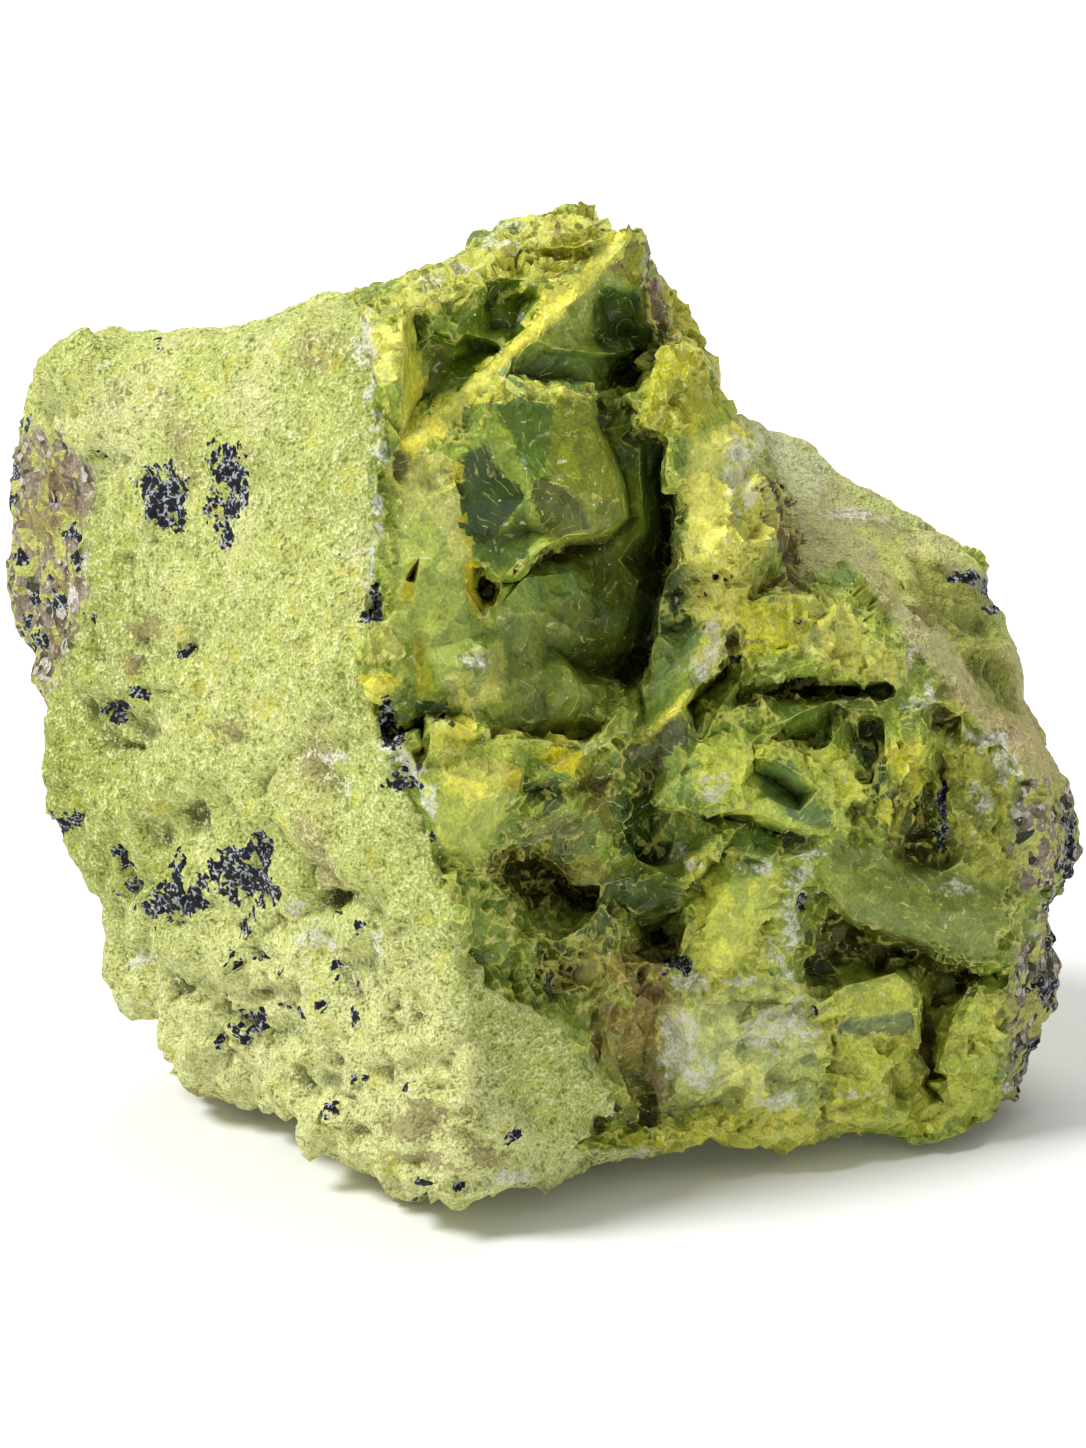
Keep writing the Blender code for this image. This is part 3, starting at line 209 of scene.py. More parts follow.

# Colours of the broken face and the shoulder, in the order that they cover each other: what, how soft
# the edge is, and where. Some hold painted light and some painted shade, as said at each.
TINTS = [
    # Ledge behind the band
    ((106, 132, 42), 3, [
        (418, 300), (484, 282), (530, 288), (548, 300), (500, 348), (425, 418), (418, 380),
    ]),
    # Top flakes
    ((178, 182, 84), 8, TOP_FLAKES),
    # Top hollow
    ((150, 145, 25), 5, [(540, 240), (560, 225), (600, 235), (585, 255), (545, 262)]),
    # Dark plate
    ((98, 122, 38), 2, [(480, 288), (488, 282), (525, 290), (530, 312), (500, 345), (484, 345), (478, 325)]),
    # Dark plate below
    ((92, 114, 36), 2, [(432, 352), (460, 340), (498, 352), (440, 405), (425, 418), (428, 370)]),
    # Column
    ((194, 192, 72), 2, [
        (403, 314), (416, 314), (418, 360), (420, 400), (418, 434), (402, 438), (401, 350),
    ]),
    # Flakes left of the column
    ((214, 212, 112), 4, [(352, 320), (403, 312), (403, 400), (385, 400), (372, 370)]),
    # Green left of the column
    ((160, 174, 72), 4, [(382, 388), (403, 385), (402, 438), (384, 445)]),
    # Band
    ((214, 210, 92), 3, BAND),
    # Tip
    ((140, 142, 40), 4, [(610, 262), (628, 232), (642, 262), (645, 290), (625, 276)]),
    # Side of the tip
    ((104, 84, 58), 5, [(640, 236), (668, 285), (676, 335), (640, 345), (645, 300)]),
    # Right of the tip
    ((172, 168, 48), 4, [(668, 283), (692, 300), (702, 348), (680, 332), (668, 312)]),
    # Facet under the band
    ((128, 140, 66), 5, [(545, 330), (580, 298), (602, 280), (602, 345), (560, 345)]),
    # Dark facet
    ((64, 84, 34), 5, [
        (600, 285), (640, 295), (652, 330), (655, 350), (640, 390), (612, 384), (600, 352), (592, 320),
    ]),
    # Facet above the block
    ((100, 122, 62), 5, [
        (530, 348), (560, 345), (606, 358), (604, 376), (570, 388), (530, 378), (508, 374),
    ]),
    # Ledge of the block: painted light, lighter where the top ledge faces the light
    ((182, 186, 84), 3, [
        (492, 378), (540, 378), (562, 384), (592, 398), (596, 404), (560, 406), (530, 401), (486, 398),
    ]),
    # Block, middle
    ((80, 102, 40), 2, [(488, 400), (562, 404), (550, 440), (540, 480), (530, 482), (520, 462), (515, 440)]),
    # Block, right
    ((112, 120, 38), 2, [
        (560, 390), (592, 402), (610, 450), (624, 515), (600, 535), (550, 546), (538, 505), (552, 470),
        (548, 430),
    ]),
    # Block, low facet: painted shade, darker where the facet faces down, away from the light
    ((78, 86, 26), 2, [(532, 482), (545, 475), (580, 502), (592, 528), (560, 540), (545, 530), (536, 508)]),
    # Block, left: painted shade, darker where the facet faces down, away from the light
    ((58, 76, 30), 3, [(460, 455), (480, 445), (505, 475), (526, 492), (500, 530), (478, 556), (464, 520)]),
    # Block, left edge: painted light, yellow for the light through the thin edge
    ((170, 162, 40), 3, [
        (450, 462), (462, 456), (462, 500), (466, 530), (476, 560), (462, 556), (452, 500),
    ]),
    # Under the block: painted shade
    ((86, 104, 48), 3, [(500, 532), (526, 508), (532, 545), (510, 576), (484, 562), (476, 550)]),
    # Beside the block
    ((176, 180, 104), 6, [
        (400, 455), (455, 460), (455, 520), (470, 560), (455, 560), (430, 520), (400, 520),
    ]),
    # Cheek
    ((158, 170, 84), 4, [
        (385, 520), (430, 520), (462, 565), (470, 640), (440, 680), (420, 640), (390, 640),
    ]),
    # Hollow wall: painted shade, darker where the wall faces away from the light
    ((86, 106, 42), 5, [(612, 415), (640, 420), (666, 450), (674, 520), (664, 600), (650, 560), (636, 480)]),
    # Hollow, top
    ((84, 104, 60), 6, [(612, 440), (655, 435), (668, 470), (640, 468), (618, 465)]),
    # Nodule
    ((108, 120, 50), 5, [
        (500, 610), (560, 560), (640, 540), (664, 560), (655, 620), (625, 670), (560, 660), (505, 690),
    ]),
    # Nodule, dark: painted shade where the round nodule turns away from the light
    ((80, 92, 36), 6, [(590, 560), (660, 545), (665, 600), (640, 655), (600, 672), (570, 655), (590, 620)]),
    # Nodule, top: painted light on the top, which faces the light
    ((134, 154, 76), 3, [(502, 592), (530, 572), (575, 560), (578, 590), (548, 612), (505, 615)]),
    # Under the block, dark: painted shadow that the block casts
    ((72, 74, 24), 4, [(540, 552), (600, 536), (620, 532), (610, 550), (575, 560), (545, 565)]),
    # Nodule, left
    ((166, 170, 86), 4, [(438, 680), (470, 650), (505, 640), (505, 700), (460, 705)]),
    # Foot of the nodule
    ((112, 124, 52), 4, [(500, 695), (560, 668), (600, 690), (622, 740), (590, 738), (510, 735)]),
    # Yellow cleft
    ((160, 150, 34), 3, [(462, 565), (474, 562), (480, 600), (484, 628), (474, 625), (465, 590)]),
    # Cleft
    ((92, 84, 26), 3, [(476, 562), (500, 582), (500, 600), (486, 618), (480, 600)]),
    # Left cleft
    ((152, 148, 36), 2, [(404, 580), (416, 556), (412, 600), (402, 606)]),
    # Left lower cleft
    ((170, 166, 44), 3, [(412, 640), (424, 642), (434, 690), (418, 696)]),
    # Dark foot: painted shade above the ledge's rim
    ((62, 78, 36), 4, [(400, 700), (446, 702), (450, 722), (402, 730)]),
    # Yellow wedge
    ((204, 198, 66), 3, [(356, 690), (372, 668), (398, 658), (398, 690), (382, 712), (362, 708)]),
    # Ledge top
    ((214, 209, 84), 3, [
        (400, 745), (430, 731), (460, 730), (500, 738), (590, 746), (576, 760), (500, 752), (430, 756),
    ]),
    # Ledge front
    ((168, 178, 80), 5, [
        (408, 756), (500, 748), (512, 790), (498, 840), (478, 882), (440, 842), (420, 792),
    ]),
    # Ledge flakes
    ((208, 208, 92), 4, [(438, 762), (470, 752), (502, 772), (500, 796), (470, 800), (440, 790)]),
    # Ledge front, right
    ((170, 162, 36), 3, [(502, 746), (526, 744), (520, 792), (506, 790)]),
    # Ledge front, far right
    ((190, 180, 40), 3, [(526, 744), (588, 748), (574, 772), (540, 764)]),
    # Under the ledge: painted shade
    ((74, 90, 52), 5, [(520, 786), (570, 790), (562, 802), (512, 806)]),
    # Olive chips
    ((118, 122, 76), 5, [(505, 850), (530, 820), (575, 805), (590, 830), (560, 850)]),
    # Lower hollow: darker, partly the stone's deep colour and partly painted shade
    ((80, 80, 26), 4, [(500, 858), (560, 852), (612, 872), (602, 908), (560, 908), (520, 900), (500, 878)]),
    # Olive chip
    ((128, 128, 62), 3, [(558, 868), (600, 858), (616, 878), (590, 896), (562, 882)]),
    # Dark pocket: darker, partly the stone's deep colour and partly painted shade
    ((62, 82, 34), 4, [(618, 782), (645, 775), (662, 800), (656, 850), (636, 862), (614, 820)]),
    # Left of the pocket
    ((104, 104, 42), 4, [(575, 780), (612, 775), (614, 820), (630, 858), (600, 830), (580, 800)]),
    # Scratched patch
    ((92, 96, 68), 6, [(608, 770), (630, 738), (680, 714), (692, 724), (666, 764), (640, 776)]),
    # Right of the pocket
    ((134, 158, 82), 5, [(668, 740), (700, 742), (706, 790), (680, 802), (660, 790)]),
    # Bowl
    ((136, 156, 80), 5, [(658, 812), (716, 805), (722, 830), (700, 862), (668, 852)]),
    # Cup
    ((78, 94, 52), 4, [(600, 876), (660, 872), (692, 890), (652, 916), (610, 906)]),
    # Hole: painted shade, near black
    ((14, 20, 16), 3, [(632, 921), (674, 919), (680, 948), (664, 966), (634, 956)]),
    # Right flakes
    ((168, 168, 54), 5, [
        (640, 388), (668, 350), (692, 334), (718, 368), (724, 402), (690, 440), (660, 440), (640, 425),
    ]),
    # Right rim
    ((196, 196, 100), 8, [
        (690, 440), (742, 418), (764, 446), (776, 520), (770, 545), (740, 620), (700, 670), (690, 640),
        (680, 500),
    ]),
    # Rim, green
    ((128, 152, 86), 5, [(655, 600), (690, 575), (696, 640), (660, 700), (642, 690)]),
    # Rim, dark
    ((66, 80, 50), 5, [(662, 580), (690, 575), (690, 628), (668, 622)]),
    # Rim edge
    ((206, 202, 86), 3, [(642, 735), (700, 680), (735, 640), (742, 645), (700, 690), (650, 742)]),
    # Wedge behind the rim: brown, and darker with painted shade in the recess
    ((100, 86, 50), 4, [(764, 452), (774, 476), (788, 500), (800, 590), (776, 598), (772, 530)]),
    # Ledges under the rim
    ((182, 182, 54), 4, [(745, 600), (800, 600), (812, 640), (800, 662), (750, 660), (738, 640)]),
    # Crumbs right of them
    ((184, 184, 96), 8, [(800, 598), (850, 600), (905, 650), (908, 690), (850, 680), (815, 660)]),
    # Dark gap: painted shade in the gap
    ((66, 66, 20), 3, [(740, 694), (800, 684), (900, 690), (900, 697), (800, 700), (745, 702)]),
    # Green block
    ((96, 118, 46), 4, [(760, 702), (836, 700), (832, 740), (792, 742), (770, 722)]),
    # Green sheet
    ((82, 98, 60), 4, [(852, 712), (884, 716), (880, 802), (866, 780), (850, 740)]),
    # Middle right
    ((184, 194, 82), 8, [(700, 740), (850, 745), (870, 840), (800, 835), (700, 800)]),
    # Middle right, dark
    ((96, 120, 66), 5, [(758, 752), (800, 770), (836, 832), (800, 826), (762, 790)]),
    # Yellow block
    ((194, 190, 66), 4, [(884, 742), (930, 718), (922, 780), (900, 830), (884, 842), (880, 790)]),
    # Dark cleft: darker, partly the stone's deep colour and partly painted shade
    ((74, 78, 28), 4, [(902, 790), (945, 782), (944, 872), (896, 862), (886, 846)]),
    # Green shell
    ((112, 124, 56), 4, [
        (830, 842), (872, 842), (900, 862), (1000, 878), (1036, 890), (1004, 962), (940, 962), (892, 942),
        (830, 902),
    ]),
    # Under the shell: painted shade
    ((80, 84, 28), 4, [
        (818, 906), (880, 928), (940, 952), (980, 965), (975, 1000), (936, 1010), (915, 975), (850, 960),
        (812, 975), (806, 940),
    ]),
    # Facet under the shell
    ((112, 116, 50), 4, [(860, 938), (902, 945), (894, 982), (856, 964)]),
    # Left of the rib
    ((178, 184, 80), 8, [(690, 860), (790, 850), (786, 990), (700, 985)]),
    # Left of the rib, green
    ((112, 136, 72), 5, [(725, 830), (800, 836), (792, 862), (740, 880), (728, 860)]),
    # Bottom right
    ((182, 188, 84), 8, [(812, 985), (912, 975), (1004, 1000), (1004, 1105), (940, 1135), (820, 1130)]),
    # Bottom right, grey
    ((110, 120, 78), 4, [(820, 1022), (916, 1012), (908, 1042), (840, 1038)]),
    # Bottom middle
    ((200, 204, 132), 34, [(660, 990), (815, 990), (812, 1110), (660, 1110)]),
    # Bottom edge
    ((194, 194, 84), 5, [(650, 1112), (850, 1108), (850, 1140), (650, 1160)]),
    # Iron stain
    ((150, 132, 80), 34, [
        (596, 1010), (600, 960), (650, 945), (668, 960), (664, 1100), (632, 1090), (600, 1050),
    ]),
    # Dark chips
    ((84, 86, 36), 4, [(545, 945), (590, 950), (592, 992), (560, 996), (545, 975)]),
    # Green chip
    ((88, 102, 56), 3, [(588, 906), (616, 906), (626, 934), (602, 950), (582, 942)]),
    # Light chip
    ((158, 168, 82), 3, [(598, 986), (640, 976), (640, 1000), (612, 1010)]),
    # Slab's underside: painted shade
    ((80, 86, 30), 4, [(580, 1108), (640, 1106), (656, 1130), (600, 1128)]),
    # Slab's underside, edge
    ((156, 156, 36), 3, [(576, 1125), (600, 1130), (656, 1132), (640, 1146), (580, 1146)]),
    # Shoulder, far
    ((208, 212, 156), 10, [(742, 415), (800, 440), (832, 480), (800, 505), (760, 450)]),
    # Shoulder, far edge
    ((190, 196, 118), 8, [
        (790, 432), (850, 480), (900, 506), (980, 560), (975, 575), (900, 530), (830, 480),
    ]),
    # Shoulder, bright
    ((206, 208, 112), 8, [(850, 530), (900, 540), (925, 565), (912, 600), (880, 570)]),
    # Lip
    ((150, 136, 60), 5, [(872, 572), (884, 578), (905, 600), (918, 614), (900, 612)]),
    # Brown column
    ((120, 106, 54), 6, [(914, 572), (940, 572), (936, 630), (916, 622)]),
    # Grey knob
    ((150, 144, 126), 8, [(940, 578), (982, 578), (986, 610), (942, 604)]),
    # Shoulder, green
    ((176, 186, 100), 8, [(940, 612), (1002, 612), (1014, 655), (970, 655)]),
    # Shoulder, brown
    ((192, 178, 118), 10, [(955, 662), (1020, 662), (1036, 730), (1062, 790), (1020, 770), (975, 720)]),
]

# Round patches: column, row, radius across and down. Black grains, chalk, and brown grains.
BLACK = [
    (152, 485, 14, 14), (160, 505, 16, 18), (172, 490, 12, 22), (182, 515, 8, 14), (166, 524, 16, 8),
    (224, 470, 12, 20), (236, 470, 12, 24), (228, 505, 12, 30), (230, 536, 9, 12), (218, 447, 6, 6),
    (246, 492, 6, 12), (210, 515, 5, 9), (76, 532, 12, 9), (80, 562, 8, 7), (116, 712, 13, 8),
    (138, 694, 12, 6), (178, 882, 9, 24), (172, 902, 14, 14), (188, 905, 6, 14), (204, 884, 8, 9),
    (204, 905, 9, 9), (196, 893, 5, 6), (238, 858, 10, 10), (262, 862, 16, 20), (250, 882, 22, 18),
    (226, 868, 9, 14), (268, 895, 12, 10), (284, 890, 8, 7), (256, 842, 6, 7), (252, 1022, 12, 16),
    (262, 1020, 8, 14), (242, 1016, 8, 7), (218, 1037, 5, 6), (122, 850, 8, 9), (130, 866, 8, 5),
    (130, 892, 12, 6), (142, 898, 5, 10), (70, 818, 18, 8), (60, 832, 6, 6), (246, 932, 6, 6),
    (252, 918, 4, 4), (240, 952, 4, 3), (258, 960, 8, 4), (244, 965, 4, 4), (285, 968, 5, 5),
    (333, 966, 4, 8), (335, 982, 4, 4), (294, 1003, 8, 4), (324, 1004, 4, 8), (312, 1008, 3, 6),
    (356, 1018, 4, 8), (354, 992, 3, 6), (364, 1076, 5, 6), (411, 1086, 6, 6), (342, 1107, 5, 7),
    (335, 1116, 4, 4), (502, 1126, 8, 8), (232, 987, 4, 3), (165, 1003, 3, 3), (370, 925, 6, 5),
    (345, 912, 8, 5), (319, 947, 4, 3), (28, 425, 5, 10), (14, 510, 6, 20), (60, 600, 6, 8), (30, 625, 6, 8),
    (45, 640, 6, 10), (50, 575, 7, 5), (98, 618, 4, 7), (45, 700, 6, 8), (386, 722, 8, 20),
    (398, 735, 7, 12), (402, 780, 12, 10), (412, 786, 10, 6), (378, 600, 5, 24), (370, 618, 6, 9),
    (430, 838, 4, 12), (668, 962, 9, 8), (680, 968, 7, 7), (664, 975, 5, 5), (816, 1012, 5, 5),
    (805, 905, 4, 5), (1066, 870, 10, 20), (1052, 905, 8, 12), (995, 608, 8, 8), (965, 580, 14, 5),
    (985, 590, 6, 10), (690, 740, 4, 4), (713, 578, 4, 4), (705, 592, 4, 3), (730, 582, 5, 4),
    (734, 655, 4, 4), (800, 622, 3, 4), (943, 820, 6, 30), (455, 1182, 8, 5), (425, 1184, 8, 5),
    (104, 455, 5, 4), (158, 346, 5, 4), (188, 650, 5, 5), (1066, 830, 6, 16), (1052, 940, 6, 12),
    (1042, 990, 7, 14), (1030, 1050, 7, 12), (1018, 1085, 6, 9), (1072, 850, 5, 12), (18, 470, 6, 10),
    (24, 560, 5, 8), (36, 600, 7, 9), (56, 500, 5, 8),
]
CHALK = [
    (744, 456, 18, 22), (735, 480, 12, 20), (756, 500, 12, 16), (712, 788, 16, 12), (800, 880, 14, 18),
    (790, 930, 12, 30), (785, 965, 10, 24), (690, 985, 26, 12), (680, 1045, 24, 40), (700, 1075, 24, 14),
    (775, 1030, 34, 24), (795, 1020, 14, 22), (730, 985, 30, 6), (775, 1100, 22, 10), (712, 640, 14, 22),
    (704, 668, 12, 12), (376, 460, 5, 22), (372, 400, 4, 30), (364, 340, 8, 24), (378, 500, 3, 40),
    (400, 756, 12, 12), (412, 768, 6, 12), (424, 795, 5, 14), (432, 815, 5, 12), (372, 590, 4, 22),
    (330, 758, 22, 5), (345, 790, 3, 14), (810, 855, 14, 10), (960, 890, 20, 6), (990, 740, 24, 12),
    (1005, 770, 14, 20), (975, 790, 12, 8), (985, 805, 12, 8), (925, 705, 16, 8), (912, 660, 6, 16),
    (930, 690, 6, 14), (840, 515, 20, 6), (870, 515, 20, 4), (300, 905, 18, 14), (320, 935, 20, 12),
    (385, 945, 8, 16), (145, 960, 14, 8), (80, 600, 10, 14), (90, 570, 6, 16), (95, 365, 10, 6),
    (520, 228, 20, 4), (500, 245, 24, 4), (460, 270, 24, 4), (430, 285, 18, 4), (645, 1160, 20, 5),
    (500, 1170, 30, 6), (760, 870, 10, 10), (675, 850, 12, 8), (690, 868, 14, 6), (480, 660, 14, 8),
    (860, 1095, 24, 6), (1008, 1088, 8, 8), (366, 344, 7, 26), (374, 405, 7, 30), (379, 452, 6, 26),
    (377, 512, 8, 24), (375, 562, 7, 26), (390, 742, 14, 12), (412, 772, 14, 14), (430, 802, 10, 16),
]
BROWN = [
    (60, 480, 20, 20), (75, 500, 16, 14), (45, 520, 20, 20), (70, 590, 16, 16), (62, 640, 14, 22),
    (232, 728, 16, 14), (150, 630, 14, 16), (140, 665, 12, 14), (422, 1118, 22, 18), (480, 1150, 18, 14),
    (430, 1160, 22, 10), (300, 910, 14, 10), (615, 1012, 12, 8), (650, 1000, 14, 14), (655, 960, 12, 12),
    (600, 1045, 6, 16), (655, 1075, 8, 20), (745, 640, 20, 4), (915, 665, 6, 20), (945, 690, 8, 12),
    (1000, 735, 20, 8), (560, 232, 6, 5), (615, 268, 8, 6), (180, 350, 5, 4), (118, 480, 3, 12),
    (825, 1122, 10, 6), (1000, 1110, 8, 8), (925, 1060, 8, 22), (880, 470, 4, 4), (205, 1085, 20, 4),
]

# Hollows in the rind: the same, and how deep they are.
HOLLOWS = [
    (338, 900, 14, 12, 2.2), (396, 1008, 8, 8, 1.2), (442, 1088, 14, 8, 1.6), (465, 1132, 14, 12, 1.6),
    (60, 562, 12, 10, 0.6), (125, 560, 8, 8, 1), (190, 648, 8, 7, 1.2), (100, 455, 9, 8, 1.2),
    (160, 690, 30, 5, 1), (130, 745, 30, 5, 0.9), (100, 780, 40, 10, 0.8), (200, 815, 20, 20, 1),
    (270, 990, 30, 10, 1.2), (298, 985, 10, 6, 1), (340, 1060, 12, 8, 0.9), (430, 1182, 10, 6, 1),
    (455, 1185, 8, 6, 1), (230, 1000, 14, 6, 0.8), (75, 365, 24, 5, 0.8),
]


def linear(colour):
    """The three parts of a colour, from 0 to 255, as amounts of light."""
    return np.array([(part / 255) ** 2.2 for part in colour])


def chance(cell, seed):
    """A number from 0 to 1 for each cell of a grid, the same at each run."""
    mixed = np.full(cell.shape[:-1], 2654435761 * (seed + 1) & 0xFFFFFFFF, np.uint64)
    for axis, factor in enumerate((73856093, 19349663, 83492791)):
        mixed ^= cell[..., axis].astype(np.int64).astype(np.uint64) * np.uint64(factor)
        mixed ^= mixed >> np.uint64(15)
        mixed *= np.uint64(2246822519)
        mixed ^= mixed >> np.uint64(13)
    return (mixed & np.uint64(0xFFFFFF)).astype(float) / 0xFFFFFF


def smooth(value, low=0.0, high=1.0):
    """0 up to low, 1 from high, and a smooth step between."""
    part = np.clip((value - low) / (high - low), 0, 1)
    return part * part * (3 - 2 * part)


def noise(points, seed):
    """Smooth noise from -1 to 1, with waves about a unit long."""
    base = np.floor(points)
    part = smooth(points - base)
    total = np.zeros(len(points))
    for corner in np.ndindex(2, 2, 2):
        corner = np.array(corner)
        weight = np.prod(np.where(corner, part, 1 - part), axis=1)
        total += weight * chance(base + corner, seed)
    return 2 * total - 1


def fractal(points, octaves, seed):
    """Noise with finer and finer waves added."""
    return sum(noise(points * 2**k, seed + k) / 2**k for k in range(octaves))


def cells(points, seed):
    """For a pattern of cells about a unit across: which cell, the way from its middle, and how far."""
    base = np.floor(points)
    nearest = np.full(len(points), 9.0)
    away = np.zeros_like(points)
    key = np.zeros_like(points)
    for step in np.ndindex(3, 3, 3):
        cell = base + np.array(step) - 1
        middle = cell + np.stack([chance(cell, seed + k) for k in range(3)], axis=1)
        offset = points - middle
        distance = np.linalg.norm(offset, axis=1)
        closer = distance < nearest
        nearest = np.where(closer, distance, nearest)
        away[closer] = offset[closer]
        key[closer] = cell[closer]
    return key, away, nearest


def slope(points, size, seed):
    """The cell of each point, and how high it lies on a plane through that cell, tilted in its own way."""
    key, away, _ = cells(points / size, seed)
    tilt = np.stack([chance(key, seed + k) for k in (10, 11, 12)], axis=1) - 0.5
    return key, (tilt * away).sum(axis=1)


def chips(points, size, seed):
    """Flat chips: each cell is raised and tilted in its own way. About -1 to 1."""
    key, plane = slope(points, size, seed)
    return chance(key, seed + 13) - 0.5 + 2 * plane


def terraces(points, size, seed):
    """Flat treads with steep steps between, a unit high, that run in a different way in each cell."""
    key, plane = slope(points, size, seed)
    level = TREADS * plane + 3 * chance(key, seed + 14)
    whole = np.floor(level)
    return whole + smooth(level - whole, 0.75, 1.0) - 0.8 * level - 0.3


def knobs(points, size, seed):
    """Rounded knobs of different heights with creases between. From 0 to 1."""
    key, _, nearest = cells(points / size, seed)
    return np.clip(1 - nearest**2, 0, 1) * (0.4 + 0.6 * chance(key, seed + 20))


def seen_at(points):
    """The column and row where each point is seen."""
    offset = points - EYE_AIM
    scale = EYE_DISTANCE / (EYE_DISTANCE + offset @ FORWARD) / STEP
    return np.stack([MIDDLE[0] + offset[:, 0] * scale, MIDDLE[1] - (offset @ UPWARD) * scale], axis=1)


def within(seen, zone, edge):
    """1 inside a zone, 0 outside, with a soft edge this wide."""
    corners = np.array(zone, float)
    near = ((seen > corners.min(axis=0) - edge) & (seen < corners.max(axis=0) + edge)).all(axis=1)
    point = seen[near]
    inside = np.zeros(len(point), bool)
    nearest = np.full(len(point), 1e9)
    for start, end in zip(corners, np.roll(corners, -1, axis=0)):
        along = end - start
        part = np.clip(((point - start) @ along) / (along @ along), 0, 1)
        nearest = np.minimum(nearest, np.linalg.norm(point - start - part[:, None] * along, axis=1))
        crosses = (start[1] > point[:, 1]) != (end[1] > point[:, 1])
        rise = along[1] if along[1] else 1e-9
        inside ^= crosses & (point[:, 0] < start[0] + (point[:, 1] - start[1]) / rise * along[0])
    found = np.zeros(len(seen))
    found[near] = smooth(np.where(inside, nearest, -nearest), -edge, edge)
    return found


def within_any(seen, zones, edge):
    return np.max([within(seen, zone, edge) for zone in zones], axis=0)


def spots(seen, patches):
    """How far inside the nearest patch each point is: 1 in its middle, 0.5 on its rim, 0 well outside."""
    found = np.zeros(len(seen))
    for patch in patches:
        away = np.hypot((seen[:, 0] - patch[0]) / patch[2], (seen[:, 1] - patch[1]) / patch[3])
        found = np.maximum(found, np.clip(1 - away / 2, 0, 1))
    return found


def small_triangles(node):
    """A copy of a node's mesh, in millimetres, split until the edges that the camera sees are short."""
    mesh = bmesh.new()
    mesh.from_mesh(node.data)
    bmesh.ops.remove_doubles(mesh, verts=mesh.verts, dist=1e-6)
    bmesh.ops.scale(mesh, vec=(1 / MM, 1 / MM, 1 / MM), verts=mesh.verts)
    for _ in range(SPLITS):
        mesh.normal_update()
        ends = np.array([(*end.co, *end.normal) for edge in mesh.edges for end in edge.verts])
        ends = ends.reshape(-1, 2, 6)
        start, stop = ends[:, 0, :3], ends[:, 1, :3]
        faces_eye = ((EYE - ends[:, :, :3]) * ends[:, :, 3:]).sum(axis=2).max(axis=1) > 0
        in_rind = within(seen_at((start + stop) / 2), RIND, 1) > 0.5
        longest = np.where(faces_eye, np.where(in_rind, RIND_EDGE, BROKEN_EDGE), BACK_EDGE)
        is_long = np.linalg.norm(stop - start, axis=1) > longest
        long_edges = [edge for edge, needs in zip(mesh.edges, is_long) if needs]
        bmesh.ops.subdivide_edges(mesh, edges=long_edges, cuts=1)
        bmesh.ops.triangulate(mesh, faces=mesh.faces[:])
    data = bpy.data.meshes.new("rock")
    mesh.to_mesh(data)
    mesh.free()
    return data


def read(items, field, width, kind):
    """What each item of a mesh holds, as the rows of an array."""
    values = np.zeros(len(items) * width, kind)
    items.foreach_get(field, values)
    return values.reshape(-1, width)


class Surface:
    """The points and triangles of a mesh, and what follows from them."""

    def __init__(self, data):
        self.points = read(data.vertices, "co", 3, float)
        self.triangles = read(data.polygons, "vertices", 3, np.int64)
        self.ends = read(data.edges, "vertices", 2, np.int64)
        self.degree = np.bincount(self.ends.ravel(), minlength=len(self.points))

    def added(self, index, values):
        return np.stack([np.bincount(index, part, len(self.points)) for part in values.T], axis=1)

    def mean(self, values):
        """The mean over each point's neighbours."""
        first, second = self.ends.T
        total = self.added(first, values[second]) + self.added(second, values[first])
        return total / self.degree[:, None]

    def blurred(self, values, times):
        for _ in range(times):
            values = 0.5 * values + 0.5 * self.mean(values)
        return values

    def facing(self):
        """How much each point faces the eye: 1 straight at it, below 0 away from it."""
        sight = self.points - EYE
        normals = self.blurred(self.normals(), FACING_BLURS)
        return -(normals * sight).sum(axis=1) / np.linalg.norm(sight, axis=1)

    def across(self):
        """Square to each triangle, and as long as twice its area."""
        corners = self.points[self.triangles]
        return np.cross(corners[:, 1] - corners[:, 0], corners[:, 2] - corners[:, 0])

    def normals(self):
        across = self.across()
        total = sum(self.added(self.triangles[:, k], across) for k in range(3))
        return total / np.maximum(np.linalg.norm(total, axis=1), 1e-12)[:, None]

    def folds(self):
        """The angle in degrees that the two faces of each edge turn by, and whether the edge stands out."""
        across = self.across()
        across /= np.maximum(np.linalg.norm(across, axis=1), 1e-12)[:, None]
        middles = self.points[self.triangles].mean(axis=1)
        weights = np.array([len(self.points), 1])
        sides = np.concatenate([self.triangles[:, [k, (k + 1) % 3]] for k in range(3)])
        owner = np.tile(np.arange(len(self.triangles)), 3)
        key = np.sort(sides, axis=1) @ weights
        order = np.argsort(key, kind="stable")
        position = np.searchsorted(key[order[::2]], np.sort(self.ends, axis=1) @ weights)
        first, second = owner[order[::2]][position], owner[order[1::2]][position]
        turn = np.degrees(np.arccos(np.clip((across[first] * across[second]).sum(axis=1), -1, 1)))
        out = ((middles[second] - middles[first]) * across[first]).sum(axis=1) < 0
        return turn, out


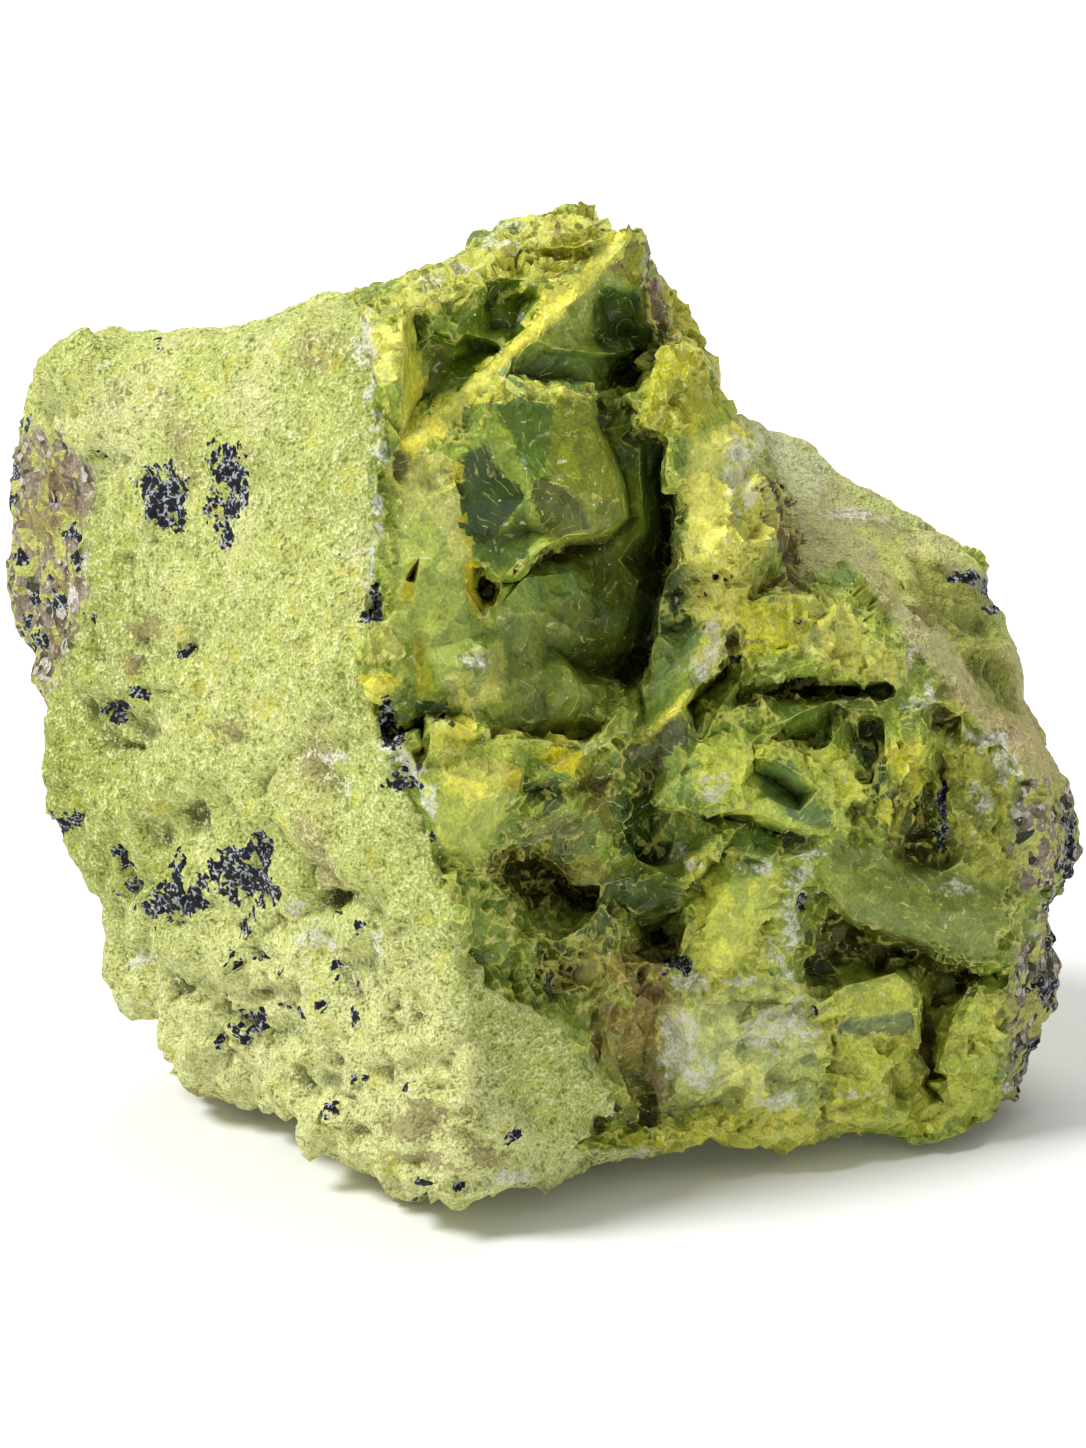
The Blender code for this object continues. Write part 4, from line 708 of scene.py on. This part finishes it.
class Stone:
    """How much of each kind of stone there is at some places, from 0 to 1."""

    def __init__(self, place, facing):
        self.place = place
        self.seen = seen_at(place)
        self.bent = place + 0.5 * fractal(place / 4, 2, 1)[:, None]
        self.front = smooth(facing, -0.5, 0.0)

        # Where zones with ragged edges and zones that follow flakes are looked up.
        sway = [4 * noise(place / 1.6, seed) + 5 * noise(place / 5, seed + 2) for seed in (90, 91)]
        ragged = self.seen + np.stack(sway, axis=1)
        self.calm = self.both(within_any(self.seen, SMOOTH_FACETS, 8), 0)
        _, away, _ = cells(place / FLAKE, 95)
        self.flaky = seen_at(place - (0.8 - 0.65 * self.calm)[:, None] * FLAKE * away)

        self.rind = self.both(within(ragged, RIND, 4), self.waves(32, 40, -0.25, 0.0))
        self.slab = self.both(within(self.seen, SLAB, 8), 0)
        self.shoulder = self.both(within(self.seen, SHOULDER, 5), 0)
        self.crust = self.both(within_any(ragged, CRUST, 7), self.waves(22, 50, 0.45, 0.6))
        self.granular = self.both(within_any(ragged, GRANULAR, 6), 0)
        self.crushed = self.both(within_any(ragged, CRUSHED, 10), self.waves(15, 55, 0.0, 0.5))
        self.broken = (1 - self.rind) * (1 - self.shoulder) * (1 - self.crust)
        self.black = self.both(spots(ragged, BLACK), self.waves(9, 60, 0.1, 1.3))
        self.chalk = self.both(spots(ragged, CHALK), self.waves(14, 70, 0.1, 1.4))
        self.brown = self.both(spots(ragged, BROWN), self.waves(12, 80, 0.1, 1.4))

    def both(self, ahead, behind):
        """A value for the side that the camera sees and one for the hidden side, joined at the outline."""
        return self.front * ahead + (1 - self.front) * behind

    def waves(self, size, seed, low, high):
        """Patches with soft edges, for the hidden side."""
        return smooth(fractal(self.place / size + seed, 2, seed), low, high)

    def relief(self):
        """How far the surface stands out from the plain solid, in millimetres."""
        place, bent, broken = self.place, self.bent, self.broken
        crumble = broken * (1 - 0.85 * self.calm)
        height = crumble * 0.95 * chips(bent, FACET, 100)
        height += crumble * 0.55 * terraces(bent, 7.0, 240)
        height += crumble * smooth(noise(place / 6, 210), -0.2, 0.5) * 0.5 * chips(place, 2.3, 220)
        height += crumble * self.crushed * 0.4 * chips(place, 1.5, 230)
        height += broken * 0.05 * fractal(place / 2.5, 2, 300)
        grainy = self.rind * (1 - 0.9 * self.slab) * (1 - self.crust)
        height += grainy * (0.55 * fractal(place / 5.5, 2, 400) + 0.75 * knobs(place, 2.6, 420) - 0.25)
        height += grainy * (0.35 * knobs(place, 1.3, 440) + 0.2 * fractal(place, 2, 450))
        lower = self.both(smooth(self.seen[:, 1], 620, 900), 0.6)
        lower = np.maximum(lower, self.front * smooth(self.seen[:, 0], 230, 130) * 0.7)
        height += grainy * lower * (1.9 * knobs(place, 4.8, 460) + 1.1 * chips(bent, 5.5, 465) - 0.9)
        height += grainy * lower * 0.8 * fractal(place / 11, 2, 470)
        height += self.slab * 0.06 * fractal(place / 1.5, 3, 480)
        height += self.crust * (1.1 * knobs(place, 2.2, 500) + 0.6 * fractal(place / 4, 2, 510) - 0.4)
        height += self.crust * 0.5 * knobs(place, 1.1, 505)
        height += self.granular * (0.8 * knobs(place, 1.5, 520) + 0.7 * fractal(place / 4, 2, 530) - 0.4)
        height += self.shoulder * (0.5 * fractal(place / 5, 3, 540) + 0.25 * chips(bent, 3.0, 545))
        height += smooth(self.black, 0.45, 0.55) * (0.35 * chips(place, 0.9, 560) - 0.15)
        height += smooth(self.chalk, 0.45, 0.55) * 0.25 * knobs(place, 0.9, 570)
        for patch in HOLLOWS:
            height -= patch[4] * smooth(spots(self.seen, [patch]), 0.45, 0.9) * self.front
        return height

    def colours(self):
        """The colour of the stone at each point, before its grain, with painted light and shade in some
        zones.
        """
        tint = np.tile(linear(STONE), (len(self.place), 1))

        def cover(colour, amount):
            tint[:] += amount[:, None] * (linear(colour) - tint)

        cover(SHOULDER_STONE, self.shoulder)
        for colour, softness, zone in TINTS:
            cover(colour, within(self.flaky, zone, softness) * self.front)
        cover(RIND_STONE, self.rind)
        patchy = fractal(self.place / 9, 3, 600)
        cover(RIND_GREEN, self.rind * smooth(patchy, 0.0, 0.9) * 0.8)
        cover(RIND_PALE, self.rind * smooth(-patchy, 0.2, 1.0) * 0.8)
        cover(RIND_BROWN, self.rind * smooth(fractal(self.place / 7, 3, 620), 0.5, 1.2) * 0.8)
        column, row = self.seen.T
        cover(RIND_GREEN, self.rind * smooth(column, 190, 90) * smooth(row, 480, 560) * self.front * 0.8)
        # Paler towards the bottom of the seen side: painted light on the low rind.
        cover(RIND_PALE, self.rind * smooth(row, 860, 1000) * self.front * 0.7)
        cover(SLAB_STONE, self.slab)
        cover(GRANULAR_STONE, self.granular)
        return tint


def store(name, kind, domain, field, values):
    """Puts values on the mesh, for the material."""
    rock_data.attributes.new(name, kind, domain).data.foreach_set(field, values)


def placed(name, data):
    """A new object in the scene."""
    item = bpy.data.objects.new(name, data)
    bpy.context.scene.collection.objects.link(item)
    return item


# The stone itself: split, softened, most where it is worn, and moved in and out.
rock_data = small_triangles(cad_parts["serpentine_rock"])
rock = Surface(rock_data)
facing = rock.facing()
stone = Stone(rock.points.copy(), facing)
facets = Stone(rock.points[rock.triangles].mean(axis=1), facing[rock.triangles].mean(axis=1))
worn = np.max([stone.rind, stone.shoulder, stone.crust], axis=0)
give = (LEAST_SOFTENING + WORN_SOFTENING * worn)[:, None]
for _ in range(SOFTENINGS):
    rock.points += give * (rock.mean(rock.points) - rock.points)
off_floor = smooth(rock.points[:, 2], 0.3, 1.5)
rock.points += (stone.relief() * off_floor)[:, None] * rock.blurred(rock.normals(), PUSH_BLURS)
rock.points[:, 2] = np.maximum(rock.points[:, 2], 0)

# Raised edges and hollows of the finished surface.
turn, out = rock.folds()
ridge = np.zeros(len(rock.points))
for end in rock.ends.T:
    np.maximum.at(ridge, end, np.where(out, turn, 0))
rough = np.max((stone.rind * (1 - stone.slab))[rock.ends], axis=1)
sharp = turn > SHARP_TURN + RIND_EXTRA_TURN * rough

# What the material needs at each corner and of each triangle.
amounts = {name: getattr(stone, name) for name in AMOUNTS}
amounts["ridge"] = smooth(ridge, *RIDGE_TURNS)
# How far each point lies below the broad shape; the material darkens the hollows by it, partly as painted
# shade.
broad = rock.blurred(rock.points, HOLLOW_BLURS)
amounts["cavity"] = ((broad - rock.points) * rock.normals()).sum(axis=1)
amounts["coarse"] = 0.5 + 0.35 * fractal(rock.points / 3, 2, 700)
amounts["crowd"] = 0.5 + 0.5 * noise(rock.points / 5, 710)
for name, values in amounts.items():
    store(name, "FLOAT", "POINT", "value", values.astype(np.float32))
facet_luck = chance(cells(facets.bent / FACET, 100)[0], 130)
store("facet", "FLOAT", "FACE", "value", facet_luck.astype(np.float32))
tint = np.column_stack([facets.colours(), np.ones(len(rock.triangles))])
store("tint", "FLOAT_COLOR", "FACE", "color", tint.astype(np.float32).ravel())
store("sharp_edge", "BOOLEAN", "EDGE", "value", sharp)
rock_data.vertices.foreach_set("co", (rock.points * MM).ravel())
rock_data.polygons.foreach_set("use_smooth", np.ones(len(rock_data.polygons), bool))
rock_data.update()
rock_piece = placed("rock", rock_data)
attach(rock_piece, "root")
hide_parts("serpentine_rock")


class Nodes:
    """Short calls that add shader nodes and return their outputs."""

    def __init__(self, material):
        self.tree = material.node_tree

    def add(self, kind, inputs=(), output=0, **settings):
        node = self.tree.nodes.new("ShaderNode" + kind)
        for key, value in settings.items():
            setattr(node, key, value)
        for key, value in dict(inputs).items():
            if isinstance(value, bpy.types.NodeSocket):
                self.tree.links.new(value, node.inputs[key])
            else:
                node.inputs[key].default_value = value
        return node.outputs[output]

    def amount(self, name):
        return self.add("Attribute", output="Fac", attribute_name=name)

    def maths(self, operation, first, second=0.0, third=0.0):
        return self.add("Math", {0: first, 1: second, 2: third}, operation=operation)

    def product(self, *parts):
        result = parts[0]
        for part in parts[1:]:
            result = self.maths("MULTIPLY", result, part)
        return result

    def total(self, start, *terms):
        """The start plus each term, which is a value and how much it counts."""
        result = start
        for value, weight in terms:
            result = self.maths("MULTIPLY_ADD", value, weight, result)
        return result

    def step(self, value, low, high):
        inputs = {"Value": value, "From Min": low, "From Max": high}
        return self.add("MapRange", inputs, interpolation_type="SMOOTHSTEP")

    def vector(self, operation, first, second, output=0):
        inputs = {0: first, 1: second}
        return self.add("VectorMath", inputs, output=output, operation=operation)

    def mix(self, part, first, second, blend="MIX"):
        inputs = {0: part, 6: first, 7: second}
        return self.add("Mix", inputs, output=2, data_type="RGBA", blend_type=blend)

    def between(self, part, first, second):
        return self.add("Mix", {0: part, 2: first, 3: second})

    def noise(self, where, size, detail):
        inputs = {"Vector": where, "Scale": 1 / size, "Detail": detail}
        return self.add("TexNoise", inputs)

    def parts(self, colour):
        """The three channels of a colour."""
        return self.add("SeparateColor", {0: colour}).node.outputs


def colour(tone):
    return (*linear(tone), 1.0)


def flakes(nodes, where, size, steps, sway):
    """Flat flakes with jagged ends: height, rim, a chance number, height over the middle plane, and cell."""
    scaled = nodes.vector("MULTIPLY", where, (1 / size, 1 / size, 1 / size))
    key = nodes.add("TexVoronoi", {"Vector": scaled, "Scale": 1.0}, output="Color")
    way = nodes.vector("SUBTRACT", scaled, key.node.outputs["Position"])
    tilt = nodes.vector("SUBTRACT", key, (0.5, 0.5, 0.5))
    plane = nodes.vector("DOT_PRODUCT", way, tilt, output="Value")
    own = nodes.parts(key)[0]
    level = nodes.total(sway, (plane, steps), (own, 3.0))
    whole = nodes.maths("FLOOR", level)
    rim = nodes.step(nodes.maths("SUBTRACT", level, whole), 0.10, 0.03)
    number = nodes.total(whole, (own, 57.0))
    luck = nodes.add("TexWhiteNoise", {"W": number}, noise_dimensions="1D")
    height = nodes.total(nodes.product(plane, size), (whole, 0.3))
    return height, rim, luck, plane, key


def stone_material():
    material = bpy.data.materials.new("serpentine")
    material.use_nodes = True
    nodes = Nodes(material)
    shader = material.node_tree.nodes["Principled BSDF"]
    where = nodes.add("TexCoord", output="Object")
    where = nodes.vector("MULTIPLY", where, (1 / MM, 1 / MM, 1 / MM))
    names = ("rind", "broken", "calm", "coarse", "crushed", "cavity", "facet")
    rind, broken, calm, coarse, crushed, cavity, facet = map(nodes.amount, names)
    middling = nodes.noise(where, 1.1, 2)
    fine = nodes.noise(where, 0.33, 1)
    base = nodes.add("Attribute", output="Color", attribute_name="tint")

    def mark(name, *parts):
        nonlocal base
        base = nodes.mix(nodes.product(*parts), base, colour(MARKS[name]))

    # Facets and flakes of the broken stone, each lighter or darker, greener or yellower, and lighter on the
    # whole, which is painted light in place of a lamp from the front.
    sway = nodes.total(nodes.product(coarse, 1.6), (middling, 0.8))
    flake, rim, flake_luck, plane, flake_key = flakes(nodes, where, 1.8, 4.0, sway)
    flaky = nodes.product(broken, nodes.total(1.0, (calm, -0.9)))
    luck = nodes.total(nodes.product(flake_luck, 0.6), (facet, 0.45))
    tone_and_front_light = nodes.mix(luck, (0.66, 0.78, 0.80, 1), (1.70, 1.62, 1.2, 1))
    tone_and_front_light = nodes.mix(broken, (1, 1, 1, 1), tone_and_front_light)
    base = nodes.mix(1.0, base, tone_and_front_light, "MULTIPLY")
    level = nodes.total(0.12, (fine, 1.0), (middling, 0.54), (coarse, 0.22))
    grit = nodes.add("CombineColor", {0: level, 1: level, 2: level})
    base = nodes.mix(1.0, base, grit, "MULTIPLY")

    # Painted shade: hollows are darker and deeper in colour, partly the stone's own colour. Painted light:
    # raised edges are light and yellow, standing for light that shines through the thin stone.
    mark("hollow", nodes.step(cavity, 0.12, 1.2), 0.8)
    lit = nodes.total(-0.8, (nodes.amount("ridge"), 1.0), (middling, 1.6))
    lit = nodes.product(nodes.step(lit, 0.6, 0.75), nodes.total(0.15, (broken, 0.4)))
    mark("edge light", lit)

    # Pale crushed flakes, most in the crushed zones, light rims on many flakes, painted light that stands
    # for light through their thin edges, and thin scratches.
    crowd = nodes.total(nodes.product(crushed, 0.14), (nodes.amount("crowd"), 0.5), (facet, 0.5))
    flake_crowd = nodes.total(nodes.product(crushed, 0.12), (middling, 0.6), (flake_luck, 0.5))
    pale = nodes.maths("MAXIMUM", nodes.step(crowd, 0.92, 0.94), nodes.step(flake_crowd, 0.86, 0.88))
    mark("pale flake", pale, flaky, 0.5)
    rim = nodes.product(rim, nodes.total(1.0, (calm, -0.35)), broken)
    mark("flake rim light", rim, nodes.step(middling, 0.42, 0.56), 0.75)
    scratch = nodes.step(nodes.maths("ABSOLUTE", plane), 0.016, 0.008)
    scratch = nodes.product(scratch, nodes.step(flake_luck, 0.6, 0.62), broken)
    mark("scratch", scratch, nodes.step(middling, 0.5, 0.56), 0.6)

    # Fine grain of the rind: light dust, yellow chips and dark pits.
    dust = nodes.step(nodes.total(nodes.product(fine, 0.6), (middling, 0.4)), 0.53, 0.62)
    mark("dust", dust, rind, 0.7)
    pits = nodes.step(nodes.total(nodes.product(fine, 0.5), (middling, 0.5)), 0.43, 0.35)
    mark("pit", pits, rind, 0.7)
    chip = nodes.product(nodes.step(flake_luck, 0.86, 0.88), nodes.step(coarse, 0.5, 0.65))
    mark("yellow chip", chip, rind, 0.5)

    # The crust of knobs, and brown grains, chalk and black grains with ragged edges.
    speck = nodes.add("TexVoronoi", {"Vector": where, "Scale": 1 / 0.8})
    speck_luck = nodes.parts(speck.node.outputs["Color"])[0]
    ragged = nodes.total(-0.72, (speck_luck, 0.45), (middling, 1.0))

    def patches(name, low, high):
        return nodes.step(nodes.maths("ADD", nodes.amount(name), ragged), low, high)

    crust_luck = nodes.total(-0.25, (nodes.parts(flake_key)[1], 1.0), (speck_luck, 0.5))
    tones = nodes.add("ValToRGB", {0: crust_luck})
    ramp = tones.node.color_ramp
    ramp.interpolation = "CONSTANT"
    ramp.elements[0].color = colour(CRUST_TONES[0][1])
    ramp.elements[1].position = CRUST_TONES[1][0]
    ramp.elements[1].color = colour(CRUST_TONES[1][1])
    for position, tone in CRUST_TONES[2:]:
        ramp.elements.new(position).color = colour(tone)
    crust_tone = nodes.mix(1.0, tones, grit, "MULTIPLY")
    base = nodes.mix(nodes.product(nodes.amount("crust"), 0.9), base, crust_tone)
    brown = patches("brown", 0.5, 0.6)
    mark("brown grain", brown, 0.6)
    white = patches("chalk", 0.46, 0.8)
    white = nodes.product(white, nodes.total(0.35, (nodes.step(fine, 0.42, 0.58), 0.65)))
    mark("chalk", white, 0.95)
    dots = nodes.product(nodes.step(speck, 0.16, 0.10), nodes.step(speck_luck, 0.84, 0.86))
    mark("white dot", dots, 0.9)
    black = patches("black", 0.5, 0.54)
    mark("black grain", black)
    glint = nodes.product(nodes.step(speck, 0.46, 0.6), black, nodes.step(fine, 0.45, 0.6))
    mark("glint", glint)

    # Relief in millimetres: flat tilted flakes on the broken stone, grains on the rind.
    grain = nodes.total(nodes.product(fine, 0.38), (middling, 0.8))
    sheets = nodes.product(flake, nodes.total(0.35, (flaky, 0.75)))
    sheets = nodes.total(sheets, (fine, nodes.total(0.03, (flaky, 0.16))))
    relief = nodes.between(broken, grain, sheets)
    bump = nodes.add("Bump", {"Height": relief, "Strength": 1.0, "Distance": MM})
    roughness = nodes.total(nodes.between(broken, 0.62, 0.24), (coarse, 0.25))
    shader.inputs["Specular IOR Level"].default_value = 0.35
    for name, value in (("Base Color", base), ("Roughness", roughness), ("Normal", bump)):
        nodes.tree.links.new(value, shader.inputs[name])
    return material


rock_piece.data.materials.append(stone_material())

# The floor, the light and the camera.
floor_material = bpy.data.materials.new("floor")
floor_material.use_nodes = True
floor_shader = floor_material.node_tree.nodes["Principled BSDF"]
for name, value in FLOOR_LOOK.items():
    floor_shader.inputs[name].default_value = value
floor_mesh = bmesh.new()
bmesh.ops.create_grid(floor_mesh, x_segments=1, y_segments=1, size=FLOOR_SIZE)
floor_data = bpy.data.meshes.new("floor")
floor_mesh.to_mesh(floor_data)
floor_mesh.free()
floor_data.materials.append(floor_material)
floor = placed("floor", floor_data)

world = bpy.data.worlds.new("studio")
world.use_nodes = True
background = world.node_tree.nodes["Background"]
background.inputs["Color"].default_value = (1, 1, 1, 1)
background.inputs["Strength"].default_value = WORLD_LIGHT
bpy.context.scene.world = world

for name, (way, spread, power) in LAMPS.items():
    light = bpy.data.lights.new(name, "SUN")
    light.angle = spread
    light.energy = power
    lamp = placed(name, light)
    lamp.rotation_euler = (-Vector(way)).to_track_quat("-Z", "Y").to_euler()

camera_data = bpy.data.cameras.new("camera")
camera_data.lens = SENSOR * EYE_DISTANCE / (PICTURE_HEIGHT * STEP)
camera_data.sensor_width = SENSOR
camera = placed("camera", camera_data)
camera.location = EYE * MM
camera.rotation_euler = (radians(90) - EYE_TILT, 0, 0)
bpy.context.scene.camera = camera
bpy.context.scene.view_settings.view_transform = "Standard"
